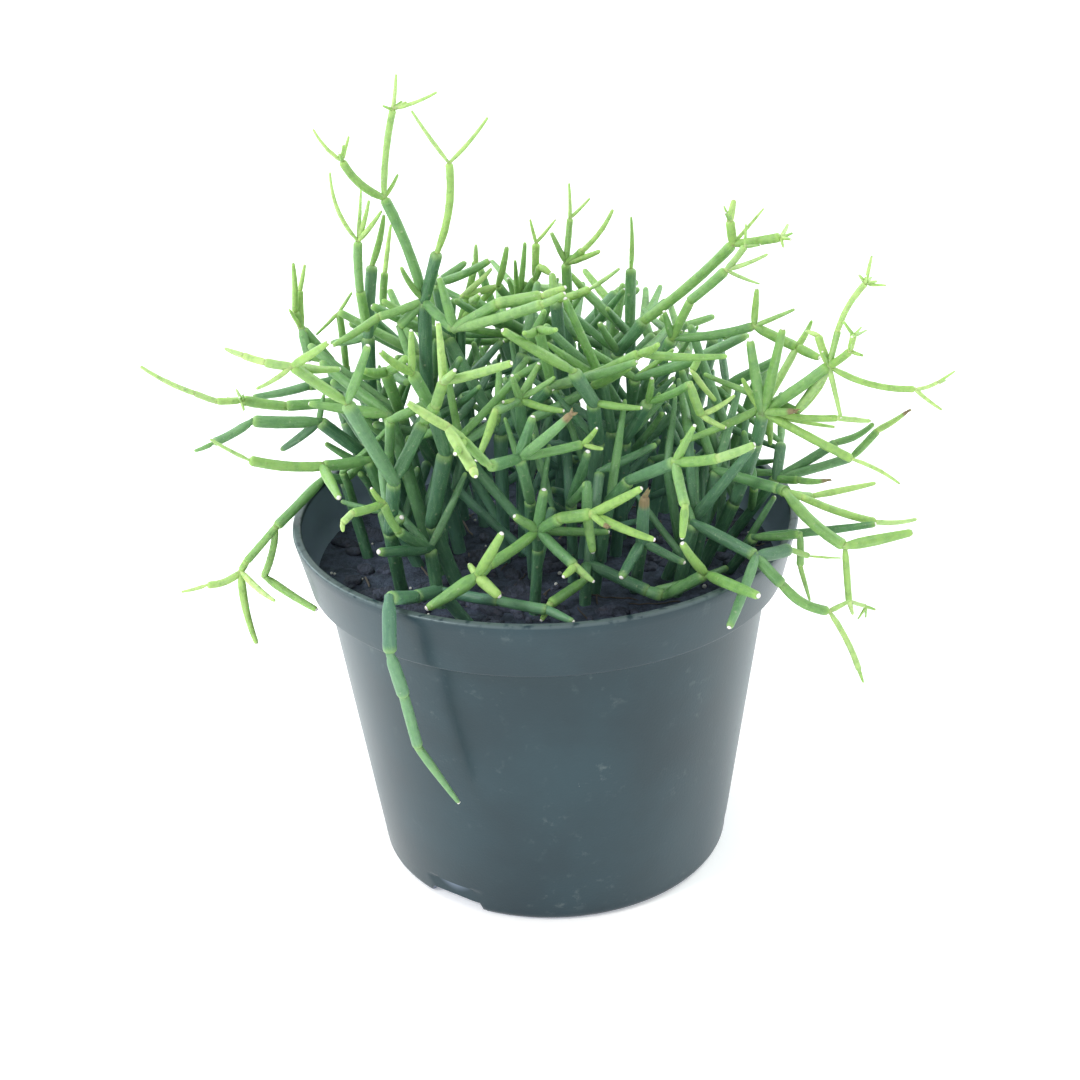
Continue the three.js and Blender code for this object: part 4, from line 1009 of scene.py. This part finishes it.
def age_of(segment):
    """How young a segment is, from 0 for old wood to 1 for this month's growth. For a grown segment it also
    holds painted shade, lower toward the bush's heart.
    """
    young = 0.15 * segment.order - 0.05 + 0.28 * (2.3 - 2 * segment.radius)
    if segment.read_at in YOUNG:
        young = 0.62
    elif segment.read_at is None:
        # Painted shade, with new growth: a grown segment looks older toward the bush's heart and younger out
        # at its dome.
        young = 0.07 * segment.order + 0.5 * (openness(segment.end) - 0.75)
    elif segment.shoot in OLD_SHOOTS:
        young *= 0.4
    return min(max(young + drawn(-0.12, 0.12), 0.0), 1.0)


def neck_of(segment, along):
    """How narrow a segment starts, as a share of its radius. One that runs straight on hardly narrows."""
    if segment.parent is None:
        return 1.0
    before = unit(segment.parent.end - segment.parent.start)
    straight = before @ along > 0.86 and abs(segment.radius - segment.parent.radius) < 0.35
    return 0.98 if straight else drawn(0.66, 0.8)


def profile_of(segment, radius, length, along):
    """The places along a segment, from inside the joint that it leaves to its tip, and its radius at each."""
    neck = neck_of(segment, along)
    buried = 0 if segment.parent is None else 0.45 * min(segment.parent.radius, radius)
    cap = 0.85 * radius
    swell = min(max(0.3 * length, 1.6 * radius), 5.5)
    ring_space = RING_SPACE if segment.read_at else 1.6 * RING_SPACE
    body = np.linspace(swell, length - cap, max(int((length - cap - swell) / ring_space), 2))
    places = [-buried - 0.3 * radius, -buried, 0.2 * swell, 0.45 * swell, 0.7 * swell, *body]
    shares = [0, neck * 0.92, neck, neck + (1 - neck) * 0.6, neck + (1 - neck) * 0.92, *np.ones(len(body))]
    for turn in (18, 36, 54, 70, 82):
        places.append(length - cap + cap * math.sin(math.radians(turn)))
        shares.append(math.cos(math.radians(turn)) ** 0.8)
    places, shares = np.array([*places, length]), np.array([*shares, 0])
    taper = drawn(0.35, 0.6) if radius < 1.05 else drawn(0.25, 0.5)
    taper = -0.05 if segment.bears else max(taper, 0.35 * (segment.read_at in BROWN_TIPS))
    share = np.clip(places / length, 0, 1)
    swelling = 1.03 - taper * share**2.2 + 0.02 * np.sin(places * 0.5 + drawn(0, 6))
    return places, radius * shares * swelling


def path_of(segment, places, radius, length, along):
    """The middle of a segment at each place along it. It leaves its joint wide and turns up to the light,
    so it hangs a little under the straight, and some are bent as the picture shows."""
    share = np.clip(places / length, 0, 1)
    hang = np.array([drawn(-0.7, 0.7), drawn(-0.7, 0.7), -1])
    hang = hang - along * (hang @ along)
    slim = max(1.6 - radius, 0.3)
    bow = min(drawn(0.01, 0.06) * slim * length, 1.3) * 4
    path = segment.start + np.outer(places, along) + np.outer(bow * share * (1 - share), hang)
    if segment.read_at in BENT:
        sight = (segment.start + segment.end) / 2 - EYE
        aside = unit(np.cross(sight, along)) * BENT[segment.read_at] * np.linalg.norm(sight) / FOCAL
        path += np.outer(4 * share * (1 - share), aside)
    return path


def areoles(turns, rise, radius):
    """Small raised points in five rows, each row a fifth of a round on and a little higher."""
    row = np.round(np.degrees(turns) / AREOLE_TURN)
    aside = np.radians(np.degrees(turns) - row * AREOLE_TURN) * radius
    cycle = 5 * AREOLE_RISE
    up = (rise - 3 * row * AREOLE_RISE + cycle / 2) % cycle - cycle / 2
    return np.exp(-(aside**2 + up**2) / 0.22)


def rod(segment):
    """A segment as a closed, slightly bowed rod: its points, faces and marks, and how its tip is."""
    radius = segment.radius * (1 if segment.read_at else GROWN_PLUMPNESS)
    length = float(np.linalg.norm(segment.end - segment.start))
    along = (segment.end - segment.start) / length
    places, radii = profile_of(segment, radius, length, along)
    path = path_of(segment, places, radius, length, along)
    points, faces = tube(path, radii, CORNERS)
    inner = len(places) - 2
    ring = np.concatenate([[0], np.repeat(np.arange(1, inner + 1), CORNERS), [inner + 1]])
    turns = np.concatenate([[0], np.tile(np.arange(CORNERS) * math.tau / CORNERS, inner), [0]])
    rise = places[ring] + drawn(0, 40)
    bump = areoles(turns, rise, radius) * (radii[ring] > 0.85 * radius)
    outward = points - path[ring]
    outward /= np.maximum(np.linalg.norm(outward, axis=1), 1e-6)[:, None]
    points = points + outward * (0.07 * bump)[:, None]
    hangs = segment.shoot == "shoot_hang_front"
    browned = segment.read_at in BROWN_TIPS
    dotted = not (segment.bears or browned) and (drawn(0, 1) < 0.4 or segment.read_at and radius > 0.8)
    marks = {
        "stem_x": np.cos(turns) * radii[ring],
        "stem_y": np.sin(turns) * radii[ring],
        "stem_z": rise,
        "age": age_of(segment),
        # The open mark sets how much painted shade a stem gets: a read segment counts as at least 0.4 of the
        # way out, and the hanging shoot always keeps some.
        "open": np.clip(openness(points), 0.4 * bool(segment.read_at), 0.6 if hangs else 1),
        "from_neck": places[ring] / radius,
        "from_tip": (length - places[ring]) / radius,
        "brown": 1.0 * browned,
        "wool": 0.0,
        "tone": drawn(0, 1),
    }
    return points, faces, marks, (path[-1], along, dotted, browned)


def dab(middle, along, size):
    """A small dome of wool on a stem's end."""
    path = middle + np.outer(np.array([-0.9, -0.5, 0.05, 0.4, 0.55]) * size, along)
    return tube(path, np.array([0, 0.9, 1.0, 0.6, 0]) * size, 8)


def scale_leaf(tip, along, radius):
    """A dry, curled scale at a withered end."""
    lean = unit(along + 0.9 * unit(np.cross(along, [drawn(-1, 1), drawn(-1, 1), drawn(-1, 1)])))
    curl = unit(along + 0.3 * lean)
    steps = np.array([-0.5, -0.2, 0.3, 0.7, 1.0])
    path = tip + np.outer(steps * radius, lean) + np.outer(steps**2 * 0.5 * radius, curl)
    return tube(path, np.array([0, 0.42, 0.34, 0.2, 0]) * radius, 6)


skin = Finish(
    "stem_skin", roughness=0.4, specular_ior_level=0.45, subsurface_weight=0.3,
    subsurface_radius=(0.5, 1.0, 0.25), subsurface_scale=1.2 * MM,
)
stem_x, stem_y, stem_z = (skin.mark(name) for name in ("stem_x", "stem_y", "stem_z"))
on_stem = skin.add("ShaderNodeCombineXYZ", None, {0: stem_x * MM, 1: stem_y * MM, 2: stem_z * MM})
mottle = skin.noise(1.7, 4, 0.6, at=on_stem)
pores = skin.noise(0.3, 2, 0.6, at=on_stem)
streaks = skin.noise(0.5, 3, 0.6, at=skin.stretched((1.0, 1.0, 0.12), on_stem))
fifths = stem_y.worked("ARCTAN2", stem_y, stem_x) * (5 / math.tau)
row = fifths.worked("ROUND", fifths)
aside = (fifths - row) * (math.tau / 5) * (stem_x * stem_x + stem_y * stem_y).root()
cycle = 5 * AREOLE_RISE
climbed = (stem_z - row * (3 * AREOLE_RISE)) * (1 / cycle) + 100.5
up = (climbed.worked("FRACT", climbed) - 0.5) * cycle
areole = 1 - (aside * aside + up * up).over(0.03, 0.16)
age = skin.mark("age") + 0.16 * (mottle - 0.5)
from_neck, from_tip, brown, wool, stem_tone, shade_openness = (
    skin.mark(name) for name in ("from_neck", "from_tip", "brown", "wool", "tone", "open")
)
stops = ((0.0, "#436e51"), (0.12, "#558355"), (0.35, "#709f54"), (0.65, "#94ba62"), (1.0, "#b8d484"))
green = skin.add("ShaderNodeValToRGB", {"stops": stops}, {0: age})
green = skin.mix(stem_tone.over(0.5, 1.0) * 0.2, green, "#86ab8e")
green = skin.mix((1 - mottle.over(0.35, 0.55)) * 0.22, green, "#3f6f3f")
green = skin.mix(streaks.over(0.45, 0.75) * 0.22, green, "#9cc596")
green = skin.mix(pores.over(0.6, 0.75) * 0.25, green, "#bdd6b0")
# Painted shade: stems toward the heart of the bush are mixed toward a darker blue-green.
green = skin.mix((1 - shade_openness.over(0.25, 0.9)) * 0.7, green, "#628f80")
necks = (1 - from_neck.over(0.2, 0.9)) * from_neck.over(-0.6, -0.2)
green = skin.mix(necks * age.over(0.1, 0.8) * 0.3, green, "#c9d98a")
ends = (1 - from_tip.over(0.1, 1.6)) * 0.35
green = skin.mix(ends, green, "#a9cf6a")
green = skin.mix(areole * mottle.over(0.5, 0.6) * 0.22, green, "#cfd6b4")
withered = brown * (1 - from_tip.over(1.2, 2.4))
green = skin.mix(withered, green, skin.mix(streaks, "#665c40", "#9a8a68"))
green = skin.mix(wool, green, "#f2f3e4")
skin.surface(base_color=green, roughness=0.36 + 0.2 * mottle + 0.3 * wool + 0.25 * withered)
skin.bump(mottle * 0.7 + streaks * 0.45 + pores * 0.15 + areole * 0.4, 0.22)

plant = {}
for segment in placed:
    plant.setdefault(segment.shoot, []).append(segment)
for shoot_name, segments in plant.items():
    shoot = Heap()
    for segment in segments:
        points, faces, marks, (tip, along, dotted, browned) = rod(segment)
        shoot.put(points, faces, **marks)
        if dotted:
            size = max((0.44 if segment.read_at else 0.32) * segment.radius, 0.25)
            points, faces = dab(tip - along * 0.12 * segment.radius, along, size)
            shoot.put(points, faces, **{**dict.fromkeys(marks, 0.0), "wool": 1.0})
        if browned:
            for _ in range(3):
                points, faces = scale_leaf(tip, along, segment.radius)
                shoot.put(points, faces, **{**dict.fromkeys(marks, 0.0), "brown": 1.0})
    stems = shown(shoot_name + "_stems", shoot.mesh(shoot_name, 75), skin.material)
    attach(stems, "root")
    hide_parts(shoot_name)
